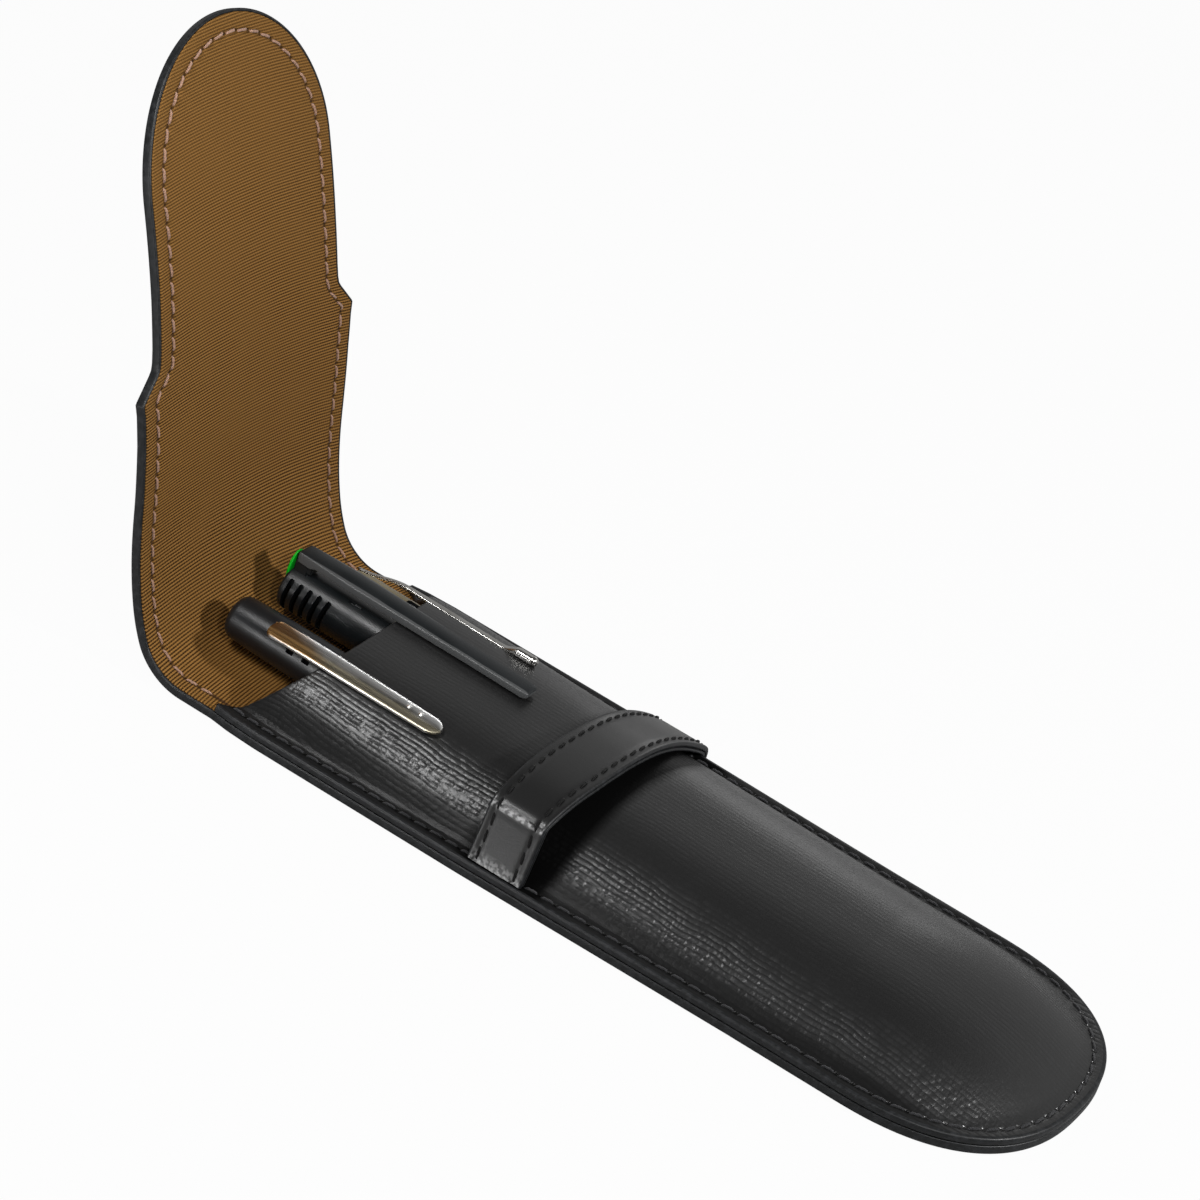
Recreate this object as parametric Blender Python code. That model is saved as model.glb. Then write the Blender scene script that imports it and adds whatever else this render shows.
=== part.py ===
"""Leather case for three pens: a moulded pouch, a closure loop and a folding flap.

The pouch lies on its back with the mouth at X = 0 and its rounded tip at +X.
The flap stands up from a fold just behind the mouth. Sizes are in millimetres
and become metres where a mesh is made.
"""

import math

import bmesh
import bpy
import numpy as np
from mathutils import Matrix, Vector

MM = 0.001

# Clearances between neighbouring pieces
FIT = 0.3
LAYER_GAP = 0.3

# Leather and lining thickness
LEATHER = 1.2
LINING = 0.5
LOOP_LEATHER = 1.0
LOOP_BACKING = 0.6
STACK = LEATHER + LAYER_GAP + LINING
NEUTRAL = STACK / 2
FLANGE_TOP = STACK + LAYER_GAP + LEATHER

# Pouch outline
MOUTH_WIDTH = 62.0
SHOULDER_WIDTH = 60.5
POUCH_LENGTH = 164.0
TIP_LENGTH = 33.0
TIP_POWER = 2.4
FLANGE_WIDTH = 3.5

# Front panel: room left over the pens at stations along the pouch, how square the
# arch is there, and how far the mouth edge draws back in the middle
BULGE_STATIONS = (0.0, 13.0, 42.0, 60.0, 95.0, 120.0)
BULGE_ROOMS = (0.55, 0.55, 1.05, 0.65, 1.0, 2.5)
BULGE_POWERS = (3.8, 3.8, 3.3, 3.0, 2.8, 2.5)
PANEL_SHARES = (1.0, 0.96, 0.9, 0.82, 0.72, 0.6, 0.45, 0.25, 0.0)
SCOOP_DEPTH = 12.9
SCOOP_POWER = 3.2
SCOOP_FADE = 42.0
SCOOP_INSET = 1.0

# Closure loop: its place along the pouch, its width and its room over the panel
LOOP_X = 60.7
LOOP_WIDTH = 11.4
LOOP_ROOM = 0.6
LOOP_OVERHANG = 0.35
# Its outer face, as (distance in from the side, drop below the top or rise above the foot)
LOOP_NEAR_DROPS = ((0.3, 6.0), (1.9, 1.5), (5.4, 0.3), (15.0, 0.0), (32.0, 0.0))
LOOP_FAR_DROPS = ((23.0, 0.4), (16.5, 1.6), (10.5, 3.9))
LOOP_FAR_RISES = ((5.0, 5.0), (1.5, 2.3))

# Fold between pouch and flap: a chain of short strips with a hinge between each two
FOLD_START = -10.4
FOLD_PITCH = 6.2
FOLD_DIRECTIONS = (30.0, 60.0, 70.0, 75.0, 79.0)
# How far each hinge turns further when the flap closes, and the clearance left then
FOLD_CLOSING = (0.0, 0.0, 38.0, 28.5, 24.7, 8.55)
TONGUE_CLOSING = 12.0
HINGE_CLEARANCE = 0.1

# Flap and tongue, measured along the leather from the last fold hinge
FLAP_DIRECTION = 82.0
FLAP_CURL = 20.0
FLAP_REACH = 86.4
STEP_START = 25.4
STEP_LENGTH = 4.0
TONGUE_HINGE = 31.0
TONGUE_WIDTH = 52.9
TONGUE_TIP = 28.0

# Sewing thread
THREAD = 0.5
SEAM_START = 1.5
SEAM_CLEARANCE = 1.1
FLAP_SEAM_INSET = 3.8
LOOP_SEAM_INSET = 1.7

# Pens: they lie on the lining with their points a little lower than their caps
PEN_PITCH = 1.1
PEN_SEAT = 0.45
SPIGOT_LENGTH = 9.0
SPIGOT_WALL = 0.9
NOSE_SHARE = 0.82
POINT_LENGTH = 3.2
POINT_RADIUS = 0.5

# Middle pen, whose side position places the other two
MIDDLE_START = -10.9
MIDDLE_SIDE = 5.3
MIDDLE_RADIUS = 4.6
MIDDLE_BODY_RADIUS = 3.9
MIDDLE_CAP_LENGTH = 41.0
MIDDLE_LENGTH = 138.0
MIDDLE_TAPER = 48.0
MIDDLE_NOSE = 22.0
MIDDLE_CLIP_START = 2.4
MIDDLE_CLIP_LENGTH = 50.6
MIDDLE_CLIP_WIDTH = 3.9
MIDDLE_CLIP_THICK = 1.5
PLUG_RADIUS = 3.7
PLUG_PROUD = 0.9
PLUG_DEPTH = 4.0
PLUG_WALL = 0.9
GROOVE_COUNT = 5
GROOVE_START = 2.1
GROOVE_PITCH = 1.75
GROOVE_WIDTH = 0.8
GROOVE_DEPTH = 0.7

NEAR_START = -11.2
NEAR_SPACE = 7.35
NEAR_RADIUS = 4.5
NEAR_END_RADIUS = 3.4
NEAR_END_LENGTH = 2.4
NEAR_BODY_RADIUS = 3.9
NEAR_CAP_LENGTH = 41.0
NEAR_LENGTH = 137.0
NEAR_TAPER = 50.0
NEAR_NOSE = 24.0
NEAR_CLIP_START = 10.2
NEAR_CLIP_LENGTH = 38.0
NEAR_CLIP_WIDTH = 3.8
NEAR_CLIP_THICK = 0.8
NEAR_CLIP_SIDE = -5.25
NEAR_CLIP_TILT = 25.0

FAR_START = -5.0
FAR_SPACE = 1.5
FAR_RADIUS = 3.7
FAR_END_LENGTH = 2.0
FAR_BODY_RADIUS = 3.3
FAR_CAP_LENGTH = 38.0
FAR_LENGTH = 130.0
FAR_TAPER = 46.0
FAR_NOSE = 20.0
FAR_CLIP_START = 1.4
FAR_CLIP_LENGTH = 41.0
FAR_CLIP_WIDTH = 2.3
FAR_CLIP_THICK = 0.7
FAR_CLIP_RAMP = 9.0
FAR_ROLL = 8.0
FAR_BALL_RADIUS = 1.1
SLOT_START = 13.0
SLOT_LENGTH = 3.4
SLOT_WIDTH = 1.8
SLOT_DEPTH = 1.0
SLOT_SIDE = -1.0

CLIP_POST_LENGTH = 3.6
CLIP_POST_SETBACK = 1.0

# Fineness of the round pieces and of the front panel
ROUND_SIDES = 32
PANEL_ROWS = 16


class Pen:
    """Sizes of one pen that its neighbours depend on."""

    def __init__(self, start, side, radius, body_radius, lengths):
        self.cap_length, self.length, taper, nose = lengths
        self.radius = radius
        self.body_radius = body_radius
        self.taper_start = self.length - taper
        self.nose_start = self.length - nose
        slope = math.tan(math.radians(PEN_PITCH))
        height = STACK + PEN_SEAT + body_radius + self.taper_start * slope
        self.end = (start, side, height)
        self.slope = slope

    def axis_height(self, x):
        """Height of the pen's axis at a station of the pouch."""
        return self.end[2] - (x - self.end[0]) * self.slope

    def top(self, x):
        """Height of the pen's upper side at a station of the pouch."""
        run = x - self.end[0]
        if run <= self.cap_length:
            return self.axis_height(x) + self.radius
        runs = (self.taper_start, self.nose_start, self.length)
        radii = (self.body_radius, self.body_radius * NOSE_SHARE, POINT_RADIUS)
        return self.axis_height(x) + float(np.interp(run, runs, radii))


MIDDLE = Pen(MIDDLE_START, MIDDLE_SIDE, MIDDLE_RADIUS, MIDDLE_BODY_RADIUS,
             (MIDDLE_CAP_LENGTH, MIDDLE_LENGTH, MIDDLE_TAPER, MIDDLE_NOSE))
NEAR = Pen(NEAR_START, MIDDLE_SIDE - MIDDLE_RADIUS - NEAR_SPACE - NEAR_RADIUS,
           NEAR_RADIUS, NEAR_BODY_RADIUS,
           (NEAR_CAP_LENGTH, NEAR_LENGTH, NEAR_TAPER, NEAR_NOSE))
FAR = Pen(FAR_START, MIDDLE_SIDE + MIDDLE_RADIUS + FAR_SPACE + FAR_RADIUS,
          FAR_RADIUS, FAR_BODY_RADIUS,
          (FAR_CAP_LENGTH, FAR_LENGTH, FAR_TAPER, FAR_NOSE))
PENS = (NEAR, MIDDLE, FAR)


def clear_scene():
    """Remove the objects that are already in the file."""
    for old in list(bpy.data.objects):
        bpy.data.objects.remove(old, do_unlink=True)


def material(name, colour, roughness, metallic=0.0):
    """A plain Principled material."""
    made = bpy.data.materials.new(name)
    made.use_nodes = True
    shader = made.node_tree.nodes["Principled BSDF"]
    shader.inputs["Base Color"].default_value = (*colour, 1.0)
    shader.inputs["Roughness"].default_value = roughness
    shader.inputs["Metallic"].default_value = metallic
    return made


def empty(name, place, pitch=0.0, roll=0.0):
    """An empty that carries the pieces of one moving body."""
    made = bpy.data.objects.new(name, None)
    made.location = Vector(place) * MM
    made.rotation_euler = (math.radians(roll), math.radians(pitch), 0.0)
    bpy.context.collection.objects.link(made)
    return made


def add_object(name, mesh, look, parent=None):
    """Link a mesh as a named object with its material."""
    made = bpy.data.objects.new(name, mesh)
    mesh.materials.append(look)
    bpy.context.collection.objects.link(made)
    if parent:
        made.parent = parent
    return made


def mesh_from(name, bm, smooth_angle=None):
    """Turn a bmesh into a mesh with outward faces."""
    bmesh.ops.recalc_face_normals(bm, faces=bm.faces)
    mesh = bpy.data.meshes.new(name)
    bm.to_mesh(mesh)
    bm.free()
    if smooth_angle:
        mesh.shade_smooth()
        mesh.set_sharp_from_angle(angle=math.radians(smooth_angle))
    return mesh


def sheet_solid(name, top, bottom, look, parent=None):
    """A closed solid between two grids of points; a row may be a single point."""
    bm = bmesh.new()
    grids = []
    for rows in (top, bottom):
        grids.append([[bm.verts.new(Vector(point) * MM) for point in row] for row in rows])
    for grid in grids:
        for row, following in zip(grid, grid[1:]):
            strip_faces(bm, row, following)
    upper, lower = grids
    join_edge(bm, upper[0], lower[0])
    join_edge(bm, upper[-1], lower[-1])
    join_edge(bm, [row[0] for row in upper], [row[0] for row in lower])
    join_edge(bm, [row[-1] for row in upper], [row[-1] for row in lower])
    return add_object(name, mesh_from(name, bm, 35), look, parent)


def strip_faces(bm, row, following):
    """Faces between two neighbouring rows of a grid."""
    if len(following) == 1:
        for left, right in zip(row, row[1:]):
            bm.faces.new((left, right, following[0]))
        return
    for index in range(len(row) - 1):
        bm.faces.new((row[index], row[index + 1], following[index + 1], following[index]))


def join_edge(bm, upper, lower):
    """The narrow wall between the rims of two grids."""
    for index in range(len(upper) - 1):
        corners = (upper[index], upper[index + 1], lower[index + 1], lower[index])
        bm.faces.new(corners)


def half_width(x, inset=0.0):
    """Half the width of the pouch outline at a station."""
    straight = POUCH_LENGTH - TIP_LENGTH
    if x <= straight:
        share = max(0.0, x) / straight
        return (MOUTH_WIDTH + (SHOULDER_WIDTH - MOUTH_WIDTH) * share) / 2 - inset
    share = min(1.0, (x - straight) / (TIP_LENGTH - inset))
    return (SHOULDER_WIDTH / 2 - inset) * (1.0 - share ** TIP_POWER) ** (1.0 / TIP_POWER)


def side_stations(start, count):
    """Stations along the straight sides of the pouch."""
    return list(np.linspace(start, POUCH_LENGTH - TIP_LENGTH, count))


def tip_point(turn, inset):
    """A point of the rounded tip; turn runs from 90 at its near side to -90 at its far side."""
    angle = math.radians(turn)
    reach = (TIP_LENGTH - inset) * abs(math.cos(angle)) ** (2.0 / TIP_POWER)
    out = (SHOULDER_WIDTH / 2 - inset) * abs(math.sin(angle)) ** (2.0 / TIP_POWER)
    return POUCH_LENGTH - TIP_LENGTH + reach, -math.copysign(out, turn)


def pouch_rim(start, inset, side_count, tip_count):
    """The outline from the near mouth corner round the tip to the far one."""
    near = [(x, -half_width(x, inset)) for x in side_stations(start, side_count)]
    turns = np.linspace(90.0, -90.0, tip_count + 1)[1:-1]
    tip = [tip_point(turn, inset) for turn in turns]
    far = [(x, -y) for x, y in reversed(near)]
    return near + tip + far


def flat_rows(start, low, high):
    """Rows of the flat panels, from the fold to the tip."""
    stations = side_stations(start, 6)
    stations += [tip_point(turn, 0.0)[0] for turn in np.linspace(90.0, 0.0, 11)[1:]]
    shares = np.linspace(-1.0, 1.0, 7)
    rows = {}
    for level in (low, high):
        rows[level] = []
        for x in stations[:-1]:
            rows[level].append([(x, share * half_width(x), level) for share in shares])
        rows[level].append([(POUCH_LENGTH, 0.0, level)])
    return rows[high], rows[low]


def crown_needed(x, room, power):
    """Height that the arch needs over its flange to leave room over every pen."""
    needed = 0.0
    for pen in PENS:
        share = abs(pen.end[1]) / half_width(x, FLANGE_WIDTH)
        above = pen.top(x) + room + LEATHER - FLANGE_TOP
        needed = max(needed, above / (1.0 - share ** power))
    return needed


def bulge_height(x):
    """Height of the front panel over its flange on the centre line."""
    heights = [crown_needed(*station)
               for station in zip(BULGE_STATIONS, BULGE_ROOMS, BULGE_POWERS)]
    return float(np.interp(x, BULGE_STATIONS, heights))


def bulge_power(x):
    """How square the arch of the front panel is at a station."""
    return float(np.interp(x, BULGE_STATIONS, BULGE_POWERS))


def scoop(y):
    """How far the mouth edge draws back at a place across the panel."""
    share = min(1.0, abs(y) / (MOUTH_WIDTH / 2 - SCOOP_INSET))
    return SCOOP_DEPTH * (1.0 - share ** SCOOP_POWER)


def scoop_shift(x, y):
    """Shift along the pouch of a panel point, largest at the mouth edge."""
    return scoop(y) * max(0.0, 1.0 - x / SCOOP_FADE)


def panel_top(x, y):
    """Height of the front panel's outer face, or None ahead of its mouth edge."""
    station = x
    if x < SCOOP_FADE:
        station = (x - scoop(y)) / (1.0 - scoop(y) / SCOOP_FADE)
    if station < 0.0:
        return None
    share = min(1.0, abs(y) / half_width(station, FLANGE_WIDTH))
    return FLANGE_TOP + bulge_height(station) * (1.0 - share ** bulge_power(station))


def panel_line(rim_point, inner_point):
    """Points of the front panel from its rim up to the spine."""
    points = [(rim_point[0], rim_point[1], FLANGE_TOP)]
    spine_x = min(inner_point[0], BULGE_STATIONS[-1])
    for share in PANEL_SHARES:
        x = spine_x + (inner_point[0] - spine_x) * share
        y = inner_point[1] * share
        z = FLANGE_TOP + bulge_height(x) * (1.0 - share ** bulge_power(spine_x))
        points.append((x + scoop_shift(x, y), y, z))
    points[0] = (points[0][0] + scoop_shift(*rim_point), points[0][1], FLANGE_TOP)
    return points


def front_grid():
    """Grid of the front panel's outer face: one row for each point of the rim."""
    rim = pouch_rim(0.0, 0.0, PANEL_ROWS, PANEL_ROWS)
    inner = pouch_rim(0.0, FLANGE_WIDTH, PANEL_ROWS, PANEL_ROWS)
    return [panel_line(*pair) for pair in zip(rim, inner)]


def grid_normals(rows, skirt):
    """Upward normals of a grid, found from the neighbours of each point."""
    points = np.array(rows)
    normals = np.zeros_like(points)
    for i in range(points.shape[0]):
        for j in range(points.shape[1]):
            along = points[min(i + 1, len(points) - 1), j] - points[max(i - 1, 0), j]
            across = points[i, min(j + 1, points.shape[1] - 1)] - points[i, max(j - 1, 0)]
            normal = np.cross(along, across)
            if j < skirt or np.linalg.norm(normal) < 1e-9:
                normal = np.array((0.0, 0.0, 1.0))
            if normal[2] < 0:
                normal = -normal
            normals[i, j] = normal / np.linalg.norm(normal)
    return normals


def front_panel(look):
    """The moulded front panel: a scooped, domed sheet with a flat sewn flange."""
    outer = np.array(front_grid())
    inner = outer - LEATHER * grid_normals(outer, 1)
    inner[:, 0, 2] = FLANGE_TOP - LEATHER
    inner[:, 1, 2] = FLANGE_TOP - LEATHER
    bm = bmesh.new()
    grids = []
    half = len(outer) // 2
    for points in (outer, inner):
        grid = [[bm.verts.new(Vector(point) * MM) for point in row] for row in points]
        last = len(grid) - 1
        for index in range(half):
            near_end = grid[index][-1]
            bm.verts.remove(grid[last - index][-1])
            grid[last - index][-1] = near_end
        grids.append(grid)
    for grid in grids:
        for row, following in zip(grid, grid[1:]):
            panel_faces(bm, row, following)
    upper, lower = grids
    join_edge(bm, [row[0] for row in upper], [row[0] for row in lower])
    join_edge(bm, upper[0], lower[0])
    join_edge(bm, upper[-1], lower[-1])
    bmesh.ops.remove_doubles(bm, verts=bm.verts, dist=1e-6)
    return add_object("front_panel", mesh_from("front_panel", bm, 40), look)


def panel_faces(bm, row, following):
    """Faces between two lines of the front panel, which may share a spine point."""
    for index in range(len(row) - 1):
        corners = (row[index], row[index + 1], following[index + 1], following[index])
        kept = []
        for corner in corners:
            if corner not in kept:
                kept.append(corner)
        if len(kept) > 2:
            bm.faces.new(kept)


def smooth_path(knots, steps):
    """A smooth curve through knots, by Catmull-Rom interpolation."""
    points = [np.array(knot, float) for knot in knots]
    padded = [2 * points[0] - points[1]] + points + [2 * points[-1] - points[-2]]
    path = []
    for index in range(len(points) - 1):
        a, b, c, d = padded[index:index + 4]
        for step in range(steps):
            t = step / steps
            path.append(0.5 * ((2 * b) + (c - a) * t + (2 * a - 5 * b + 4 * c - d) * t ** 2
                               + (3 * b - a - 3 * c + d) * t ** 3))
    path.append(points[-1])
    return path


def loop_knots():
    """Knots of the loop's outer face across the pouch, as (y, z)."""
    side = half_width(LOOP_X) + LOOP_OVERHANG
    foot = FLANGE_TOP + FIT
    layers = LOOP_LEATHER + LAYER_GAP + LOOP_BACKING
    top = panel_top(LOOP_X - LOOP_WIDTH / 2, 0.0) + LOOP_ROOM + layers
    knots = [(-side, foot)]
    knots += [(-side + inward, top - drop) for inward, drop in LOOP_NEAR_DROPS]
    knots += [(side - inward, top - drop) for inward, drop in LOOP_FAR_DROPS]
    knots += [(side - inward, foot + rise) for inward, rise in LOOP_FAR_RISES]
    knots.append((side, foot))
    return knots


def loop_path(inset):
    """The loop's path across the pouch, as (y, z), a distance inside its outer face."""
    path = smooth_path(loop_knots(), 3)
    moved = []
    for index, point in enumerate(path):
        ahead = path[min(index + 1, len(path) - 1)] - path[max(index - 1, 0)]
        ahead /= np.linalg.norm(ahead)
        inward = np.array((ahead[1], -ahead[0]))
        place = point + inward * inset
        moved.append((place[0], max(place[1], path[0][1])))
    return moved


def loop_sheet(name, outer, inner, look):
    """One leather layer of the closure loop."""
    rows = {}
    for inset in (outer, inner):
        rows[inset] = []
        path = loop_path(inset)
        for side in (-1.0, 1.0):
            x = LOOP_X + side * LOOP_WIDTH / 2
            rows[inset].append([(x, y, z) for y, z in path])
    return sheet_solid(name, rows[outer], rows[inner], look)


def direction_vector(angle):
    """Unit vector along the leather, for an angle measured up from -X."""
    turn = math.radians(angle)
    return np.array((-math.cos(turn), 0.0, math.sin(turn)))


def face_normal(angle):
    """Unit vector from the leather towards the lined face."""
    turn = math.radians(angle)
    return np.array((math.sin(turn), 0.0, math.cos(turn)))


def fold_hinges():
    """Places of the fold's hinges on the middle of the leather stack."""
    places = [np.array((FOLD_START, 0.0, NEUTRAL))]
    for angle in FOLD_DIRECTIONS:
        places.append(places[-1] + FOLD_PITCH * direction_vector(angle))
    return places


def bend_gap(bend):
    """Setback of a strip's end from its hinge, so that its lining clears at full bend."""
    return (STACK - NEUTRAL) * math.tan(math.radians(bend / 2)) + HINGE_CLEARANCE


def fold_gaps():
    """Setbacks at the fold's hinges, from the pouch to the flap."""
    directions = (0.0,) + FOLD_DIRECTIONS + (FLAP_DIRECTION,)
    bends = [after - before for before, after in zip(directions, directions[1:])]
    return [bend_gap(bend + closing) for bend, closing in zip(bends, FOLD_CLOSING)]


def flap_point(run):
    """Place and direction of the flap's middle surface at a distance along it."""
    curl = math.radians(FLAP_CURL) / FLAP_REACH
    start = math.radians(FLAP_DIRECTION)
    turn = start - curl * run
    x = -(math.sin(start) - math.sin(turn)) / curl
    z = (math.cos(turn) - math.cos(start)) / curl
    return fold_hinges()[-1] + np.array((x, 0.0, z)), math.degrees(turn)


def flap_half_width(run, inset=0.0):
    """Half the width of the flap at a distance along it."""
    if run <= STEP_START:
        return MOUTH_WIDTH / 2 - inset
    narrow = TONGUE_WIDTH / 2 - inset
    if run < STEP_START + STEP_LENGTH:
        share = (run - STEP_START) / STEP_LENGTH
        ease = share * share * (3.0 - 2.0 * share)
        return (MOUTH_WIDTH / 2 - inset) * (1.0 - ease) + narrow * ease
    shoulder = FLAP_REACH - TONGUE_TIP
    if run <= shoulder:
        return narrow
    share = min(1.0, (run - shoulder) / (TONGUE_TIP - inset))
    return narrow * math.sqrt(1.0 - share ** 2)


def flap_sheet(name, runs, low, high, look, parent, anchor):
    """A curved layer of the flap between two offsets from its middle surface."""
    grids = {}
    for level in (low, high):
        grids[level] = []
        for run in runs:
            place, angle = flap_point(run)
            centre = place + face_normal(angle) * (level - NEUTRAL) - anchor
            half = flap_half_width(run)
            if half < 0.01:
                grids[level].append([tuple(centre)])
                continue
            row = [tuple(centre + np.array((0.0, share * half, 0.0)))
                   for share in np.linspace(-1.0, 1.0, 7)]
            grids[level].append(row)
    return sheet_solid(name, grids[high], grids[low], look, parent)


def fold_strip(name, index, low, high, look, parent):
    """A flat layer of the fold between two neighbouring hinges."""
    ahead = direction_vector(FOLD_DIRECTIONS[index])
    out = face_normal(FOLD_DIRECTIONS[index])
    gaps = fold_gaps()
    grids = {}
    for level in (low, high):
        grids[level] = []
        for reach in (gaps[index], FOLD_PITCH - gaps[index + 1]):
            centre = ahead * reach + out * (level - NEUTRAL)
            row = [tuple(centre + np.array((0.0, side * MOUTH_WIDTH / 2, 0.0)))
                   for side in (-1.0, 0.0, 1.0)]
            grids[level].append(row)
    return sheet_solid(name, grids[high], grids[low], look, parent)


def tube(name, points, look, parent=None):
    """A sewing thread: a thin closed tube through points."""
    curve = bpy.data.curves.new(name, "CURVE")
    curve.dimensions = "3D"
    curve.bevel_depth = THREAD / 2 * MM
    curve.bevel_resolution = 1
    curve.use_fill_caps = True
    spline = curve.splines.new("POLY")
    spline.points.add(len(points) - 1)
    for knot, place in zip(spline.points, points):
        knot.co = (*(Vector(place) * MM), 1.0)
    made = bpy.data.objects.new(name, curve)
    curve.materials.append(look)
    bpy.context.collection.objects.link(made)
    made.parent = parent
    return made


def turned(name, profile, look, parent):
    """A round piece about its own X axis, from a profile of (x, radius)."""
    bm = bmesh.new()
    verts = [bm.verts.new((x * MM, 0.0, radius * MM)) for x, radius in profile]
    edges = [bm.edges.new(pair) for pair in zip(verts, verts[1:])]
    bmesh.ops.spin(bm, geom=verts + edges, cent=(0.0, 0.0, 0.0), axis=(1.0, 0.0, 0.0),
                   angle=math.tau, steps=ROUND_SIDES, use_merge=True)
    bmesh.ops.remove_doubles(bm, verts=bm.verts, dist=1e-6)
    return add_object(name, mesh_from(name, bm, 35), look, parent)


def box_mesh(bm, low, high):
    """A box between two corners."""
    made = bmesh.ops.create_cube(bm, size=1.0)["verts"]
    low = Vector(low) * MM
    high = Vector(high) * MM
    for vert in made:
        for axis in range(3):
            vert.co[axis] = low[axis] if vert.co[axis] < 0 else high[axis]
    return made


def cut(target, cutter):
    """Cut one piece with a hidden tool."""
    cutter.hide_render = True
    cutter.display_type = "WIRE"
    tool = target.modifiers.new("cut", "BOOLEAN")
    tool.operation = "DIFFERENCE"
    tool.solver = "EXACT"
    tool.object = cutter


def rounded_end(length, radius, steps=5):
    """Profile of a domed end that starts on the axis at X = 0."""
    points = []
    for step in range(steps + 1):
        turn = math.radians(90.0 * step / steps)
        points.append((length * (1.0 - math.cos(turn)), radius * math.sin(turn)))
    return points


def cap_bore(pen):
    """Profile of the socket that takes the body's spigot, from the open end inwards."""
    bore = pen.body_radius - SPIGOT_WALL
    inner_end = pen.cap_length - SPIGOT_LENGTH - FIT
    return [(pen.cap_length, bore), (inner_end, bore), (inner_end, 0.0)]


def body_profile(pen):
    """Profile of a pen body with its spigot, up to the nose."""
    bore = pen.body_radius - SPIGOT_WALL - FIT
    shoulder = pen.cap_length + FIT
    return [
        (pen.cap_length - SPIGOT_LENGTH, 0.0),
        (pen.cap_length - SPIGOT_LENGTH, bore),
        (shoulder, bore),
        (shoulder, pen.body_radius),
        (pen.taper_start, pen.body_radius),
        (pen.nose_start, pen.body_radius * NOSE_SHARE),
        (pen.nose_start, 0.0),
    ]


def nose_profile(pen):
    """Profile of a pen's nose cone with its fine point."""
    base = pen.body_radius * NOSE_SHARE
    start = pen.nose_start + FIT
    cone_end = pen.length - POINT_LENGTH
    cone = cone_end - start
    return [
        (start, 0.0),
        (start, base),
        (start + cone * 0.15, base * 0.96),
        (start + cone * 0.9, base * 0.42),
        (cone_end, base * 0.34),
        (cone_end, POINT_RADIUS * 1.2),
        (pen.length - POINT_RADIUS, POINT_RADIUS),
        (pen.length, POINT_RADIUS / 2),
        (pen.length, 0.0),
    ]


def plate_outline(length, width, head_radius, tail_power, stations, count=8):
    """Outline of a clip blade: rounded corners at its head, a round tail."""
    half = width / 2
    points = []
    for step in range(count // 2 + 1):
        turn = math.radians(90.0 * step / (count // 2))
        points.append((head_radius * (1.0 - math.cos(turn)),
                       half - head_radius + head_radius * math.sin(turn)))
    points += [(x, half) for x in stations]
    for step in range(count + 1):
        turn = math.radians(90.0 * step / count)
        reach = length - half * tail_power * (1.0 - math.sin(turn))
        points.append((reach, half * math.cos(turn)))
    return points


def blade(bm, length, width, thick, head_radius, tail_power, bottom, stations=()):
    """A long blade along +X; bottom(x) gives the height of its lower face."""
    side = plate_outline(length, width, head_radius, tail_power, stations)
    lower = []
    upper = []
    for x, half in side:
        for level, row in ((bottom(x), lower), (bottom(x) + thick, upper)):
            row.append((bm.verts.new((x * MM, -half * MM, level * MM)),
                        bm.verts.new((x * MM, half * MM, level * MM))))
    for index in range(len(side) - 1):
        a, b = lower[index], lower[index + 1]
        c, d = upper[index], upper[index + 1]
        bm.faces.new((a[0], a[1], b[1], b[0]))
        bm.faces.new((c[0], c[1], d[1], d[0]))
        bm.faces.new((a[0], b[0], d[0], c[0]))
        bm.faces.new((a[1], b[1], d[1], c[1]))
    bm.faces.new((lower[0][0], lower[0][1], upper[0][1], upper[0][0]))
    bmesh.ops.remove_doubles(bm, verts=bm.verts, dist=1e-6)


def joined(name, makers, look, parent):
    """One solid from overlapping shapes, joined with a Boolean union."""
    shapes = []
    for index, maker in enumerate(makers):
        bm = bmesh.new()
        maker(bm)
        label = name if index == 0 else f"{name}_joined_{index}"
        shapes.append(add_object(label, mesh_from(label, bm, 35), look, parent))
    body = shapes[0]
    for extra in shapes[1:]:
        extra.hide_render = True
        extra.display_type = "WIRE"
        union = body.modifiers.new("join", "BOOLEAN")
        union.operation = "UNION"
        union.solver = "EXACT"
        union.object = extra
    return body


def clip_rise(pen, start, length, side, drop_low, drop_high):
    """Height over the pen's axis of a clip that lies just clear of the front panel.

    The clip's edges, at the two sides given, hang below its seat by the two drops.
    """
    lifts = [pen.radius]
    for x in np.linspace(pen.end[0] + start, pen.end[0] + start + length, 24):
        for edge, drop in ((side[0], drop_low), (side[1], drop_high)):
            top = panel_top(x, pen.end[1] + edge)
            if top is not None:
                lifts.append(top + drop - pen.axis_height(x))
    return max(lifts) + FIT


def pen_seat(name, pen, place, roll=0.0):
    """An empty that carries a clip, parented to the pen's own empty."""
    seat = empty(name, place, 0.0, roll)
    seat.parent = pen
    return seat


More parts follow.
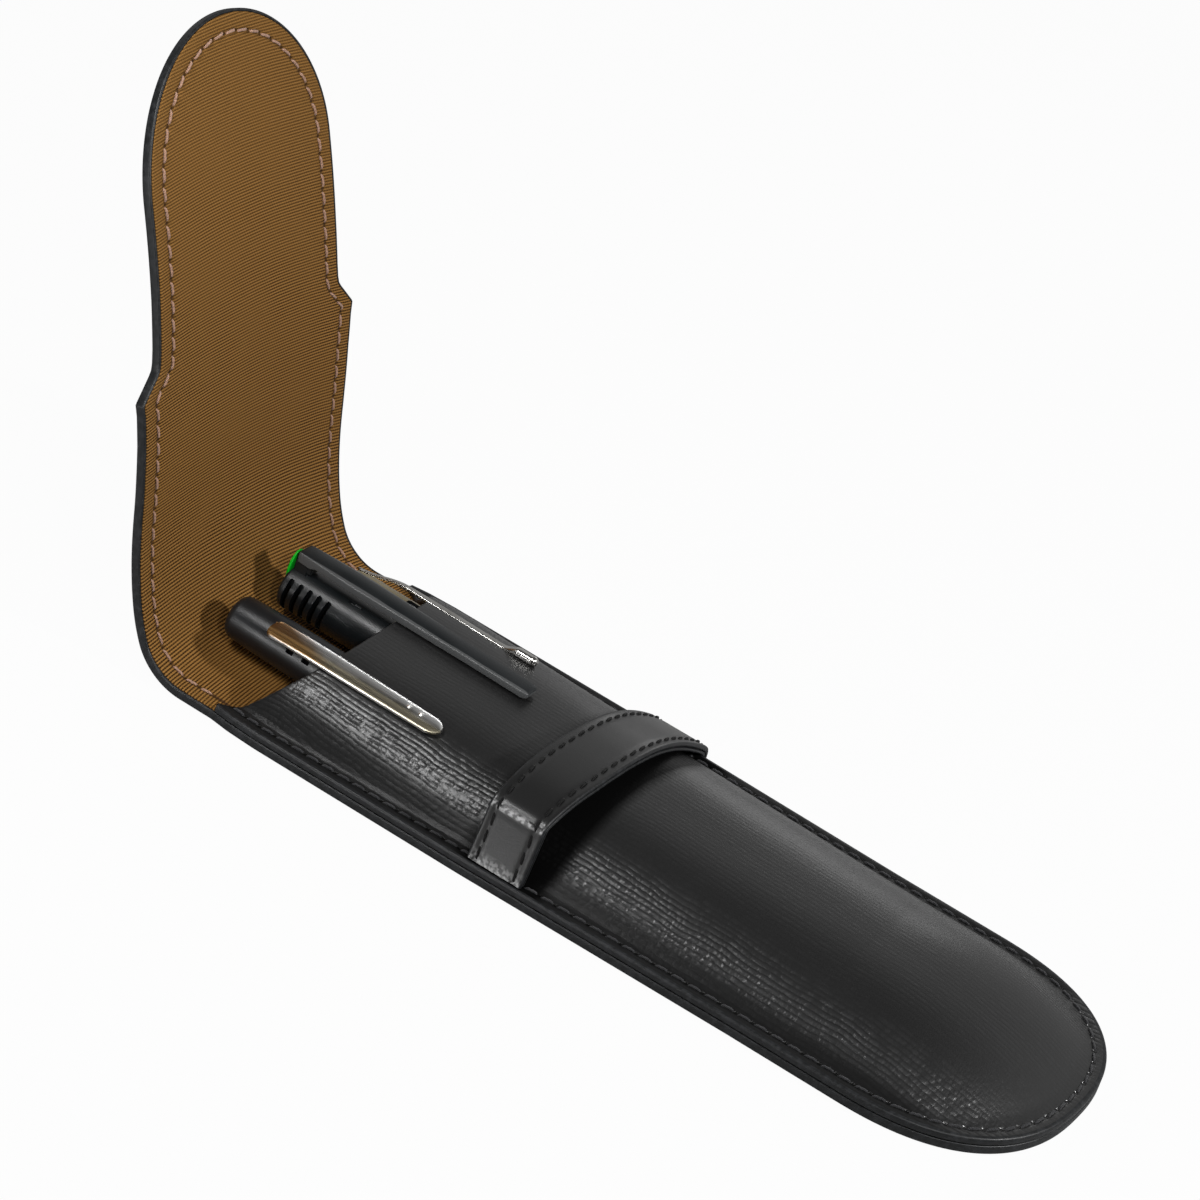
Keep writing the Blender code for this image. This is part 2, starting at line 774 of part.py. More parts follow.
def near_pen(looks):
    """The near pen: black barrel with a tapered free end and a broad steel clip."""
    carrier = empty("near_pen_axis", NEAR.end, PEN_PITCH)
    cap = rounded_end(NEAR_END_LENGTH, NEAR_END_RADIUS)
    cap += [(9.0, NEAR_RADIUS - 0.35), (18.0, NEAR_RADIUS), (NEAR_CAP_LENGTH, NEAR_RADIUS)]
    turned("near_pen_barrel", cap + cap_bore(NEAR), looks["black"], carrier)
    turned("near_pen_grip", body_profile(NEAR), looks["black"], carrier)
    turned("near_pen_nose", nose_profile(NEAR), looks["steel"], carrier)

    tilt = math.radians(NEAR_CLIP_TILT)
    reach = NEAR_CLIP_WIDTH / 2 * math.cos(tilt)
    lean = NEAR_CLIP_WIDTH / 2 * math.sin(tilt)
    under = NEAR_CLIP_THICK / 2 / math.cos(tilt)
    rise = clip_rise(NEAR, NEAR_CLIP_START, NEAR_CLIP_LENGTH,
                     (NEAR_CLIP_SIDE - reach, NEAR_CLIP_SIDE + reach),
                     under + lean, under - lean)
    seat = pen_seat("near_clip_seat", carrier, (NEAR_CLIP_START, NEAR_CLIP_SIDE, rise),
                    NEAR_CLIP_TILT)

    def plate(bm):
        blade(bm, NEAR_CLIP_LENGTH, NEAR_CLIP_WIDTH, NEAR_CLIP_THICK, 1.2, 0.9,
              lambda x: -NEAR_CLIP_THICK / 2)

    def post(bm):
        depth = math.hypot(NEAR_CLIP_SIDE, rise) - NEAR_RADIUS - FIT
        box_mesh(bm, (CLIP_POST_SETBACK, -NEAR_CLIP_WIDTH * 0.29, -depth),
                 (CLIP_POST_SETBACK + CLIP_POST_LENGTH, NEAR_CLIP_WIDTH * 0.29, 0.1))
        turn = math.atan2(-NEAR_CLIP_SIDE, rise) - tilt
        bmesh.ops.rotate(bm, verts=bm.verts, cent=(0.0, 0.0, 0.0),
                         matrix=Matrix.Rotation(turn, 3, "X"))

    joined("near_pen_clip", (plate, post), looks["chrome"], seat)


def middle_pen(looks):
    """The middle pen: black grooved cap, bright end plug and a long bar clip."""
    carrier = empty("middle_pen_axis", MIDDLE.end, PEN_PITCH)
    socket = PLUG_RADIUS - PLUG_WALL
    cap = [
        (PLUG_DEPTH, 0.0),
        (PLUG_DEPTH, socket + FIT),
        (0.6, socket + FIT),
        (0.0, socket + FIT + 0.6),
        (0.0, MIDDLE_RADIUS - 0.6),
        (0.25, MIDDLE_RADIUS - 0.2),
        (0.8, MIDDLE_RADIUS),
        (MIDDLE_CAP_LENGTH, MIDDLE_RADIUS),
    ]
    shell = turned("middle_pen_cap", cap + cap_bore(MIDDLE), looks["black"], carrier)

    bm = bmesh.new()
    for index in range(GROOVE_COUNT):
        start = GROOVE_START + index * GROOVE_PITCH
        inner = MIDDLE_RADIUS - GROOVE_DEPTH
        box_mesh(bm, (start, -MIDDLE_RADIUS - 1.0, -MIDDLE_RADIUS * 0.7),
                 (start + GROOVE_WIDTH, -inner * 0.72, MIDDLE_RADIUS * 0.56))
    tools = add_object("groove_cutter", mesh_from("groove_cutter", bm), looks["black"], carrier)
    cut(shell, tools)

    plug = [(-PLUG_PROUD, 0.0), (-PLUG_PROUD, PLUG_RADIUS * 0.72),
            (-PLUG_PROUD * 0.55, PLUG_RADIUS), (-FIT, PLUG_RADIUS), (-FIT, socket),
            (PLUG_DEPTH - FIT, socket), (PLUG_DEPTH - FIT, 0.0)]
    turned("middle_pen_end_plug", plug, looks["green"], carrier)
    turned("middle_pen_grip", body_profile(MIDDLE), looks["black"], carrier)
    turned("middle_pen_nose", nose_profile(MIDDLE), looks["black"], carrier)

    half = MIDDLE_CLIP_WIDTH / 2
    rise = clip_rise(MIDDLE, MIDDLE_CLIP_START, MIDDLE_CLIP_LENGTH, (-half, half), 0.0, 0.0)
    seat = pen_seat("middle_clip_seat", carrier, (MIDDLE_CLIP_START, 0.0, rise))

    def bar(bm):
        blade(bm, MIDDLE_CLIP_LENGTH, MIDDLE_CLIP_WIDTH, MIDDLE_CLIP_THICK, 0.5, 0.25,
              lambda x: 0.0)

    def post(bm):
        depth = rise - MIDDLE_RADIUS - FIT
        box_mesh(bm, (0.4, -MIDDLE_CLIP_WIDTH * 0.41, -depth),
                 (0.4 + CLIP_POST_LENGTH, MIDDLE_CLIP_WIDTH * 0.41, 0.2))

    joined("middle_pen_clip", (bar, post), looks["black"], seat)


def far_pen(looks):
    """The far pen: slim steel, with a narrow clip that ends in a ball."""
    carrier = empty("far_pen_axis", FAR.end, PEN_PITCH, FAR_ROLL)
    cap = rounded_end(FAR_END_LENGTH, FAR_RADIUS) + [(FAR_CAP_LENGTH, FAR_RADIUS)]
    shell = turned("far_pen_cap", cap + cap_bore(FAR), looks["steel"], carrier)

    bm = bmesh.new()
    box_mesh(bm, (SLOT_START, SLOT_SIDE - SLOT_WIDTH / 2, FAR_RADIUS - SLOT_DEPTH),
             (SLOT_START + SLOT_LENGTH, SLOT_SIDE + SLOT_WIDTH / 2, FAR_RADIUS + 1.0))
    tool = add_object("slot_cutter", mesh_from("slot_cutter", bm), looks["steel"], carrier)
    cut(shell, tool)

    turned("far_pen_body", body_profile(FAR), looks["steel"], carrier)
    turned("far_pen_nose", nose_profile(FAR), looks["steel"], carrier)

    root = FAR_RADIUS + FIT
    roll = math.radians(FAR_ROLL)
    side = -math.sin(roll) * FAR_RADIUS * 2.0
    half = FAR_CLIP_WIDTH / 2
    lean = half * math.sin(roll)
    over = clip_rise(FAR, FAR_CLIP_START, FAR_CLIP_LENGTH, (side - half, side + half),
                     lean, -lean)
    rise = over / math.cos(roll) - root
    seat = pen_seat("far_clip_seat", carrier, (FAR_CLIP_START, 0.0, root))

    def strip(bm):
        blade(bm, FAR_CLIP_LENGTH, FAR_CLIP_WIDTH, FAR_CLIP_THICK, 0.6, 0.8,
              lambda x: rise * min(1.0, x / FAR_CLIP_RAMP), (FAR_CLIP_RAMP,))

    def ball(bm):
        bmesh.ops.create_icosphere(bm, subdivisions=3, radius=FAR_BALL_RADIUS * MM)
        place = Vector((FAR_CLIP_LENGTH - 0.4, 0.0, rise + FAR_BALL_RADIUS - 0.2)) * MM
        bmesh.ops.translate(bm, verts=bm.verts, vec=place)

    joined("far_pen_clip", (strip, ball), looks["chrome"], seat)


def pouch(looks):
    """The pieces of the pouch, which lies on the table."""
    start = FOLD_START + fold_gaps()[0]
    top, bottom = flat_rows(start, 0.0, LEATHER)
    sheet_solid("back_panel", top, bottom, looks["leather"])
    top, bottom = flat_rows(start, LEATHER + LAYER_GAP, STACK)
    sheet_solid("back_lining", top, bottom, looks["twill"])
    front_panel(looks["leather"])

    loop_sheet("closure_loop", 0.0, LOOP_LEATHER, looks["leather"])
    inner = LOOP_LEATHER + LAYER_GAP
    loop_sheet("loop_backing", inner, inner + LOOP_BACKING, looks["leather"])

    level = FLANGE_TOP + FIT + THREAD / 2
    rim = pouch_rim(SEAM_START, FLANGE_WIDTH - SEAM_CLEARANCE, 4, 20)
    seam = [(x + scoop_shift(x, y), y, level) for x, y in rim]
    tube("pouch_seam_thread", seam, looks["black_thread"])

    path = loop_path(-FIT - THREAD / 2)[2:-1]
    for name, side in (("loop_thread_mouth_side", -1.0), ("loop_thread_tip_side", 1.0)):
        x = LOOP_X + side * (LOOP_WIDTH / 2 - LOOP_SEAM_INSET)
        tube(name, [(x, y, z) for y, z in path], looks["black_thread"])


def fold(looks):
    """The chain of short strips between pouch and flap."""
    hinges = fold_hinges()
    parent = None
    for index in range(len(FOLD_DIRECTIONS)):
        number = index + 1
        joint = empty(f"fold_{number}_axis", tuple(hinges[index]))
        if parent:
            joint.parent = parent
            joint.location = Vector(tuple(hinges[index] - hinges[index - 1])) * MM
        fold_strip(f"fold_leather_{number}", index, 0.0, LEATHER, looks["leather"], joint)
        fold_strip(f"fold_lining_{number}", index, LEATHER + LAYER_GAP, STACK,
                   looks["twill"], joint)
        parent = joint
    return parent


def flap(looks, parent):
    """The flap and the tongue at its free end."""
    hinges = fold_hinges()
    root = empty("flap_axis", (0.0, 0.0, 0.0))
    root.parent = parent
    root.location = Vector(tuple(hinges[-1] - hinges[-2])) * MM
    anchor = hinges[-1]

    step_end = STEP_START + STEP_LENGTH
    start = fold_gaps()[-1]
    tongue_gap = bend_gap(TONGUE_CLOSING)
    flap_end = TONGUE_HINGE - tongue_gap
    tongue_start = TONGUE_HINGE + tongue_gap
    runs = list(np.linspace(start, STEP_START, 4)[:-1])
    runs += list(np.linspace(STEP_START, step_end, 7))
    runs.append(flap_end)
    lining_low = LEATHER + LAYER_GAP
    flap_sheet("flap_leather", runs, 0.0, LEATHER, looks["leather"], root, anchor)
    flap_sheet("flap_lining", runs, lining_low, STACK, looks["twill"], root, anchor)
    for name, side in (("flap_thread_near", -1.0), ("flap_thread_far", 1.0)):
        run_list = np.linspace(start + THREAD, flap_end - THREAD, 14)
        points = [thread_point(run, side, anchor) for run in run_list]
        tube(name, points, looks["pink_thread"], root)

    tongue_root, _ = flap_point(TONGUE_HINGE)
    tongue = empty("tongue_axis", (0.0, 0.0, 0.0))
    tongue.parent = root
    tongue.location = Vector(tuple(tongue_root - anchor)) * MM
    shoulder = FLAP_REACH - TONGUE_TIP
    runs = list(np.linspace(tongue_start, shoulder, 6))
    runs += [shoulder + TONGUE_TIP * math.sin(math.radians(turn))
             for turn in np.linspace(0.0, 90.0, 11)[1:]]
    flap_sheet("tongue_leather", runs, 0.0, LEATHER, looks["leather"], tongue, tongue_root)
    flap_sheet("tongue_lining", runs, lining_low, STACK, looks["twill"], tongue, tongue_root)
    straight = list(np.linspace(tongue_start + THREAD, shoulder, 6))
    curved = [shoulder + (TONGUE_TIP - FLAP_SEAM_INSET) * math.sin(math.radians(turn))
              for turn in np.linspace(0.0, 90.0, 13)[1:]]
    near_side = [thread_point(run, -1.0, tongue_root) for run in straight + curved]
    far_side = [thread_point(run, 1.0, tongue_root) for run in (straight + curved)[:-1]]
    tube("tongue_thread", near_side + far_side[::-1], looks["pink_thread"], tongue)


def thread_point(run, side, anchor):
    """A point of the flap's seam, just over the lining."""
    place, angle = flap_point(run)
    over = STACK + FIT + THREAD / 2 - NEUTRAL
    centre = place + face_normal(angle) * over - anchor
    return tuple(centre + np.array((0.0, side * flap_half_width(run, FLAP_SEAM_INSET), 0.0)))


def main():
    """Build every piece."""
    clear_scene()
    looks = {
        "leather": material("black_leather", (0.03, 0.03, 0.032), 0.5),
        "twill": material("tan_twill", (0.20, 0.10, 0.025), 0.8),
        "black_thread": material("black_thread", (0.012, 0.012, 0.014), 0.7),
        "pink_thread": material("pink_thread", (0.35, 0.17, 0.12), 0.7),
        "black": material("black_pen", (0.015, 0.016, 0.018), 0.4),
        "steel": material("brushed_steel", (0.55, 0.54, 0.50), 0.3, 1.0),
        "chrome": material("polished_steel", (0.75, 0.74, 0.72), 0.15, 1.0),
        "green": material("green_plug", (0.0, 0.40, 0.01), 0.4),
    }
    pouch(looks)
    last = fold(looks)
    flap(looks, last)
    near_pen(looks)
    middle_pen(looks)
    far_pen(looks)


main()
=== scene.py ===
"""Looks of a leather case for three pens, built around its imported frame.

Sizes are in millimetres and become metres where a mesh is made. A place on the back
of the case, its fold and its flap is given by its run (distance along the leather from
the mouth, negative along the pouch), its distance across, and its level over the middle
of the leather stack. The near side is -Y, and the mouth is at X = 0.
"""

import math
from collections import namedtuple

import bmesh
import bpy
import numpy as np
from mathutils import Matrix, Vector


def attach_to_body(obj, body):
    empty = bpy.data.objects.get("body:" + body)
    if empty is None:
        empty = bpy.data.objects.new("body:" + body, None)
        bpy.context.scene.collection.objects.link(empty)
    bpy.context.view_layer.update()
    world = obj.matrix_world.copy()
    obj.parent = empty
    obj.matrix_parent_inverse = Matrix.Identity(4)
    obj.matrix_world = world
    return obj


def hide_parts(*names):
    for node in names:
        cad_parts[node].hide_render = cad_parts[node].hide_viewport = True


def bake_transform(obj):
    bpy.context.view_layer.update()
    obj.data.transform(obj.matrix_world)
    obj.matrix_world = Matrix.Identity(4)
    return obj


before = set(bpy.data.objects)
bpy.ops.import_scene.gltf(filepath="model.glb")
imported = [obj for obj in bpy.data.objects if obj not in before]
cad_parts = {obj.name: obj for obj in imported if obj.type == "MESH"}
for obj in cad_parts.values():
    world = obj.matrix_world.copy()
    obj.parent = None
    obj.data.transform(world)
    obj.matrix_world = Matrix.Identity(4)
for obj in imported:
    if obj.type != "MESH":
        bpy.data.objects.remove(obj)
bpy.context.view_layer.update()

MM = 0.001
# Points of one piece that are closer than this are one, in metres
JOIN_DISTANCE = 2e-6

# Leather stack of the pouch floor and the flap
NEUTRAL = 1.0
STACK = 2.0
LEATHER_TOP = 0.36
LINING_BOTTOM = 0.42
FLANGE_TOP = 3.5
PANEL_LEATHER = 1.2

# Pouch outline
MOUTH_WIDTH = 62.0
SHOULDER_WIDTH = 60.5
POUCH_LENGTH = 164.0
TIP_LENGTH = 33.0
TIP_POWER = 2.4
FLANGE_WIDTH = 3.5
# How far the full pouch bulges sideways beside the pens
SPREAD = 0.9
SPREAD_SHARES = ((0.0, 0.0), (4.0, 0.65), (10.0, 1.0), (55.0, 1.0), (80.0, 0.5), (110.0, 0.0))
POUCH_FAN = 120.0

# Front panel: height and squareness of its arch by the distance from the mouth, and its scoop
BULGE_HEIGHTS = ((0.0, 10.91), (13.0, 10.65), (42.0, 10.18), (60.0, 9.57), (95.0, 8.82),
                 (120.0, 8.1))
BULGE_POWERS = ((0.0, 3.8), (13.0, 3.8), (42.0, 3.3), (60.0, 3.0), (95.0, 2.8), (120.0, 2.5))
BULGE_FILLET = 0.55
SCOOP_DEPTH = 12.9
SCOOP_POWER = 4.0
SCOOP_FADE = 42.0
SCOOP_HALF = 30.0

# Fold and flap, along the leather
FOLD_START = -10.4
FOLD_PITCH = 6.2
FOLD_DIRECTIONS = (30.0, 60.0, 70.0, 75.0, 79.0)
FLAP_DIRECTION = 82.0
FLAP_CURL = 20.0
FLAP_REACH = 86.4
TONGUE_HINGE = 31.0
TONGUE_BEND = 6.0
TONGUE_HALF = 26.45
TONGUE_TIP = 28.0
# The flap's side, as (distance up the flap, half width): a pointed step, then the tongue
FLAP_SIDE = ((-50.0, 31.0), (6.0, 30.9), (16.0, 31.05), (22.0, 31.4), (24.2, 31.75), (24.6, 31.5),
             (28.4, 28.0), (29.3, 27.35), (30.5, 27.05), (33.0, 26.85), (42.0, 26.6),
             (58.4, TONGUE_HALF))

# Closure loop: knots of its outer face across the pouch, as (y, z)
LOOP_X = 60.7
LOOP_WIDTH = 12.6
LOOP_NEAR_HALF = 5.7
LOOP_KNOTS = ((-30.7, 3.8), (-30.3, 4.9), (-29.25, 8.6), (-28.25, 12.4), (-27.85, 14.1),
              (-27.3, 15.1), (-25.6, 16.05), (-20.5, 17.3), (-15.0, 17.85), (-8.0, 17.85),
              (-1.0, 17.35), (4.0, 16.7), (8.5, 15.85), (13.0, 14.6), (18.0, 12.75), (23.5, 10.1),
              (28.5, 7.3), (31.8, 5.2), (32.8, 3.9), (32.95, 2.3))
# Rounding of its edges, and how far in their paint reaches
LOOP_EDGE = 0.48
LOOP_PAINT = 0.42
# Its layers: name, depths of both faces, inset, depth of the seam's grooves, and node
LOOP_LAYERS = (("loop_outer_leather", 0.0, 1.08, 0.0, 0.14, "closure_loop"),
               ("loop_inner_leather", 1.14, 1.9, 0.06, 0.0, "loop_backing"))
# Where it stands up from the near flange and does not fall back
LOOP_RISE_END = -16.0
# Painted light on the leather: pale glints painted along the loop's crease, and a painted shade on
# the panel beside and under the loop
LOOP_CREASE = 11.2
LOOP_SHADE = 0.08
LOOP_SHADE_BEFORE = (-9.5, -5.8)
LOOP_SHADE_AFTER = (8.4, 10.8)

# Seams
SEAM_INSET = 3.8
SEAM_START = 2.6
FLANGE_SEAM_INSET = 2.3
LOOP_SEAM_INSET = 1.75
STITCH_PITCH = 3.35
THREAD = 0.5

# Lengths of the faces along the strap
FLOOR_STEP = 1.0
FOLD_STEP = 0.36
FLAP_STEP = 0.45
TONGUE_BEND_STEP = 0.4
TONGUE_STEP = 0.5

# Derived places of the fold
BEND_START = -FOLD_START - FOLD_PITCH / 2
FLAP_RUN = -FOLD_START + FOLD_PITCH * len(FOLD_DIRECTIONS)
BEND_END = FLAP_RUN + FOLD_PITCH / 2
TONGUE_SHOULDER = FLAP_RUN + FLAP_REACH - TONGUE_TIP
TONGUE_BEND_START = FLAP_RUN + TONGUE_HINGE - TONGUE_BEND / 2
TONGUE_BEND_END = FLAP_RUN + TONGUE_HINGE + TONGUE_BEND / 2


def between(x, table):
    """A value at a place, from a table of (place, value)."""
    return float(np.interp(x, *zip(*table)))


def unit(vectors):
    """Vectors made one long."""
    return vectors / np.linalg.norm(vectors, axis=-1, keepdims=True)


def quarter(share):
    """How high a quarter circle still is, a share of its radius along; 1 before its start."""
    return math.sqrt(max(0.0, 1.0 - max(0.0, share) ** 2))


def lengths_along(points):
    """Length of a path up to each of its points."""
    steps = np.linalg.norm(np.diff(points, axis=0), axis=1)
    return np.concatenate([[0.0], np.cumsum(steps)])


def turns(start, end, count):
    """Even angles in radians, from two ends in degrees."""
    return np.radians(np.linspace(start, end, count))


def circle(sides):
    """Angles of the sides of a full circle."""
    return np.linspace(0.0, math.tau, sides, endpoint=False)


def curve(before, corner, after, t):
    """A point of the rounding of a corner, a share of the way along."""
    return before * (1 - t) ** 2 + corner * 2 * t * (1 - t) + after * t * t


def heading(angle):
    """Unit (x, z) along the leather, for an angle measured up from -X."""
    turn = math.radians(angle)
    return np.array((-math.cos(turn), math.sin(turn)))


def facing(angle):
    """Unit (x, z) from the leather towards its lined face."""
    return heading(angle + 90.0)


def fold_hinges():
    """Places (x, z) of the fold's hinges on the middle of the stack."""
    strips = [FOLD_PITCH * heading(angle) for angle in FOLD_DIRECTIONS]
    return np.cumsum([(FOLD_START, NEUTRAL), *strips], axis=0)


HINGES = fold_hinges()


def flap_line(distance):
    """Place (x, z) and direction of the flap's middle, a distance up from the last hinge."""
    curl = math.radians(FLAP_CURL) / FLAP_REACH
    start = math.radians(FLAP_DIRECTION)
    turn = start - curl * distance
    x = -(math.sin(start) - math.sin(turn)) / curl
    z = (math.cos(turn) - math.cos(start)) / curl
    return HINGES[-1] + np.array((x, z)), math.degrees(turn)


def bend_corners():
    """For each hinge, the strip middles before and after it and the hinge between them."""
    middles = [np.array((FOLD_START + FOLD_PITCH / 2, NEUTRAL))]
    for corner, angle in zip(HINGES, FOLD_DIRECTIONS):
        middles.append(corner + FOLD_PITCH / 2 * heading(angle))
    middles.append(flap_line(FOLD_PITCH / 2)[0])
    return list(zip(middles, HINGES, middles[1:]))


BENDS = bend_corners()


def strap_line(run):
    """Place (x, z) and direction of the middle of the leather at a run."""
    if run <= BEND_START:
        return np.array((-run, NEUTRAL)), 0.0
    if run >= BEND_END:
        return flap_line(run - FLAP_RUN)
    index = min(int((run - BEND_START) / FOLD_PITCH), len(BENDS) - 1)
    t = (run - BEND_START) / FOLD_PITCH - index
    before, corner, after = BENDS[index]
    ahead = (corner - before) * (1 - t) + (after - corner) * t
    return curve(before, corner, after, t), math.degrees(math.atan2(ahead[1], -ahead[0]))


def strap_place(run, across, level):
    """A point of the strap that makes the pouch floor, the fold and the flap."""
    place, angle = strap_line(run)
    x, z = place + facing(angle) * level
    return x, across, z


def pouch_half(x, inset):
    """Half the width of the pouch outline at a station of its straight sides."""
    share = max(0.0, x) / (POUCH_LENGTH - TIP_LENGTH)
    width = MOUTH_WIDTH + (SHOULDER_WIDTH - MOUTH_WIDTH) * share
    return width / 2 + SPREAD * between(x, SPREAD_SHARES) - inset


def strap_half(run, inset):
    """Half the width of the strap at a run of its straight parts."""
    if run <= 0.0:
        return pouch_half(-run, inset)
    return between(run - FLAP_RUN, FLAP_SIDE) - inset


def round_tip(turn, reach, half, power=2.0):
    """How far along and across a rounded tip reaches, for turns from 90 to -90."""
    angle = math.radians(turn)
    across = half * abs(math.sin(angle)) ** (2 / power)
    return reach * abs(math.cos(angle)) ** (2 / power), -math.copysign(across, turn)


def pouch_tip(turn, inset):
    """A point (run, across) of the pouch's rounded tip."""
    along, across = round_tip(turn, TIP_LENGTH - inset, SHOULDER_WIDTH / 2 - inset, TIP_POWER)
    return -(POUCH_LENGTH - TIP_LENGTH + along), across


def tongue_tip(turn, inset):
    """A point (run, across) of the tongue's rounded tip."""
    along, across = round_tip(turn, TONGUE_TIP - inset, TONGUE_HALF - inset)
    return TONGUE_SHOULDER + along, across


def spaced(start, end, pitch, extra=()):
    """Even places from start to end, about a pitch apart, with the extra ones between."""
    count = max(2, round(abs(end - start) / pitch) + 1)
    low, high = min(start, end), max(start, end)
    places = set(np.linspace(start, end, count))
    places |= {place for place in extra if low < place < high}
    return sorted(places, reverse=end < start)


def tipped_rim(runs, tip, steps, inset):
    """A tipped outline as (run, across), from its near side round the tip to its far side."""
    near = [(run, -strap_half(run, inset)) for run in runs]
    far = [(run, -across) for run, across in reversed(near)]
    return near + [tip(turn, inset) for turn in np.linspace(90.0, -90.0, steps + 1)[1:-1]] + far


def arc(inset, level, radius, start, end, steps):
    """Points (inset, level) of an arc in a layer's section, between two angles."""
    return [(inset + radius * math.cos(a), level + radius * math.sin(a))
            for a in turns(start, end, steps + 1)]


# One line of a layer's section: where it lies and what it is finished with
Column = namedtuple("Column", "inset level share face zone", defaults=(1.0, 0, 0))


STRAP_TIP_STEPS = 96
SEAM_TIP_STEPS = 90
SPINE_SHARES = (0.0, 0.12, 0.25, 0.4, 0.55, 0.7, 0.85)
INNER_INSET = 7.5
PUCKER_REACH = 0.75
PUCKER_EVEN = 0.55
# Texture place of what lies on no seam
OFF_SEAM = -9.0
SEAM_STEPS = (-1.9, -1.3, -0.9, -0.6, -0.35, -0.15, 0.0, 0.15, 0.35, 0.6, 0.9, 1.3, 1.9)


def face_columns(level, face, near_edge):
    """Columns of one face of a layer, from its middle out to its edge."""
    columns = [Column(INNER_INSET, level, share, face) for share in SPINE_SHARES]
    insets = [INNER_INSET, *[SEAM_INSET + step for step in reversed(SEAM_STEPS)], near_edge]
    return columns + [Column(inset, level, 1.0, face) for inset in insets]


def leather_section():
    """Section of the back leather: plain faces and a painted lip as high as the stack."""
    edge = arc(0.55, -0.45, 0.55, 262.0, 180.0, 6) + arc(0.3, 0.6, 0.3, 180.0, 90.0, 5)
    edge += [(0.5, 0.86), (0.57, 0.7), (0.6, 0.45)]
    columns = face_columns(-NEUTRAL, -1, 0.8)
    columns += [Column(inset, level, zone=1) for inset, level in edge]
    return columns + [Column(1.3, LEATHER_TOP), Column(INNER_INSET, LEATHER_TOP),
                      Column(INNER_INSET, LEATHER_TOP, 0.0)]


def lining_section():
    """Section of the twill lining, which lies inside the leather's lip."""
    columns = [Column(INNER_INSET, LINING_BOTTOM, 0.0), Column(INNER_INSET, LINING_BOTTOM),
               Column(1.2, LINING_BOTTOM)]
    columns += [Column(0.62, 0.5), Column(0.62, 0.8), Column(0.67, 0.92), Column(0.8, 0.985)]
    return columns + face_columns(STACK - NEUTRAL, 1, 1.05)[::-1]


def add_object(name, data):
    """A new object in the scene."""
    made = bpy.data.objects.new(name, data)
    bpy.context.scene.collection.objects.link(made)
    return made


def shade(mesh, sharp=35.0):
    """Smooth a mesh, but for corners that are sharper than an angle."""
    mesh.shade_smooth()
    mesh.set_sharp_from_angle(angle=math.radians(sharp))


class Surface:
    """Collects the points, texture places and faces of one piece."""

    def __init__(self):
        self.points = []
        self.plans = []
        self.seams = []
        self.faces = []
        self.zones = []

    def grid(self, points, plans, seams, zones, wrap=False):
        """Add a grid of points; zones holds one finish for each column."""
        rows, columns = points.shape[:2]
        base = len(self.points)
        self.points.extend(points.reshape(-1, 3))
        self.plans.extend(plans.reshape(-1, 2))
        self.seams.extend(seams.reshape(-1, 2))
        last = columns if wrap else columns - 1
        for row in range(rows - 1):
            start = base + row * columns
            for column in range(last):
                ahead = (column + 1) % columns
                self.faces.append((start + column, start + ahead,
                                   start + columns + ahead, start + columns + column))
                self.zones.append(zones[column])

    def face(self, corners, zone=0):
        """Add one flat face with points of its own."""
        base = len(self.points)
        self.points.extend(corners)
        self.plans.extend([(corner[0], corner[1]) for corner in corners])
        self.seams.extend([(0.0, OFF_SEAM)] * len(corners))
        self.faces.append(tuple(range(base, base + len(corners))))
        self.zones.append(zone)

    def tube(self, points, plans, seams, zones, end=0):
        """Add a grid that closes on itself, with flat ends."""
        self.grid(points, plans, seams, zones, wrap=True)
        self.face(points[0][::-1], end)
        self.face(points[-1], end)

    def piece(self, name, looks, sharp=55.0):
        """Make the object, with doubled points joined and faces pointing out."""
        mesh = bpy.data.meshes.new(name)
        mesh.from_pydata((np.array(self.points) * MM).tolist(), [], self.faces)
        for label, places in (("Plan", self.plans), ("Seam", self.seams)):
            layer = mesh.uv_layers.new(name=label)
            corners = np.zeros(len(mesh.loops), np.int32)
            mesh.loops.foreach_get("vertex_index", corners)
            layer.data.foreach_set("uv", np.array(places, np.float32)[corners].ravel())
        for look in looks:
            mesh.materials.append(look)
        mesh.polygons.foreach_set("material_index", np.array(self.zones, np.int32))
        bm = bmesh.new()
        bm.from_mesh(mesh)
        bmesh.ops.remove_doubles(bm, verts=bm.verts, dist=JOIN_DISTANCE)
        bmesh.ops.dissolve_degenerate(bm, edges=bm.edges, dist=JOIN_DISTANCE / 2)
        bmesh.ops.recalc_face_normals(bm, faces=bm.faces)
        bm.to_mesh(mesh)
        bm.free()
        shade(mesh, sharp)
        return add_object(name, mesh)


class Seam:
    """A sewn line: its points, the way its surface faces, and its even stitches."""

    def __init__(self, points, normals, tags):
        self.points = np.array(points)
        self.normals = np.array(normals)
        self.tags = np.array(tags)
        self.lengths = lengths_along(self.points)
        self.count = round(self.lengths[-1] / STITCH_PITCH)
        self.pitch = self.lengths[-1] / self.count

    def at(self, length, values):
        """Values of the line at a length along it."""
        return np.array([np.interp(length, self.lengths, axis) for axis in values.T])


STITCH_SHARE = 0.76
STITCH_LIFT = 0.05
STITCH_SINK = 0.34
STITCH_SLANT = 0.13
STITCH_ROWS = 17
STITCH_SIDES = 12
PLY_PITCH = 0.95
PLY_DEPTH = 0.1


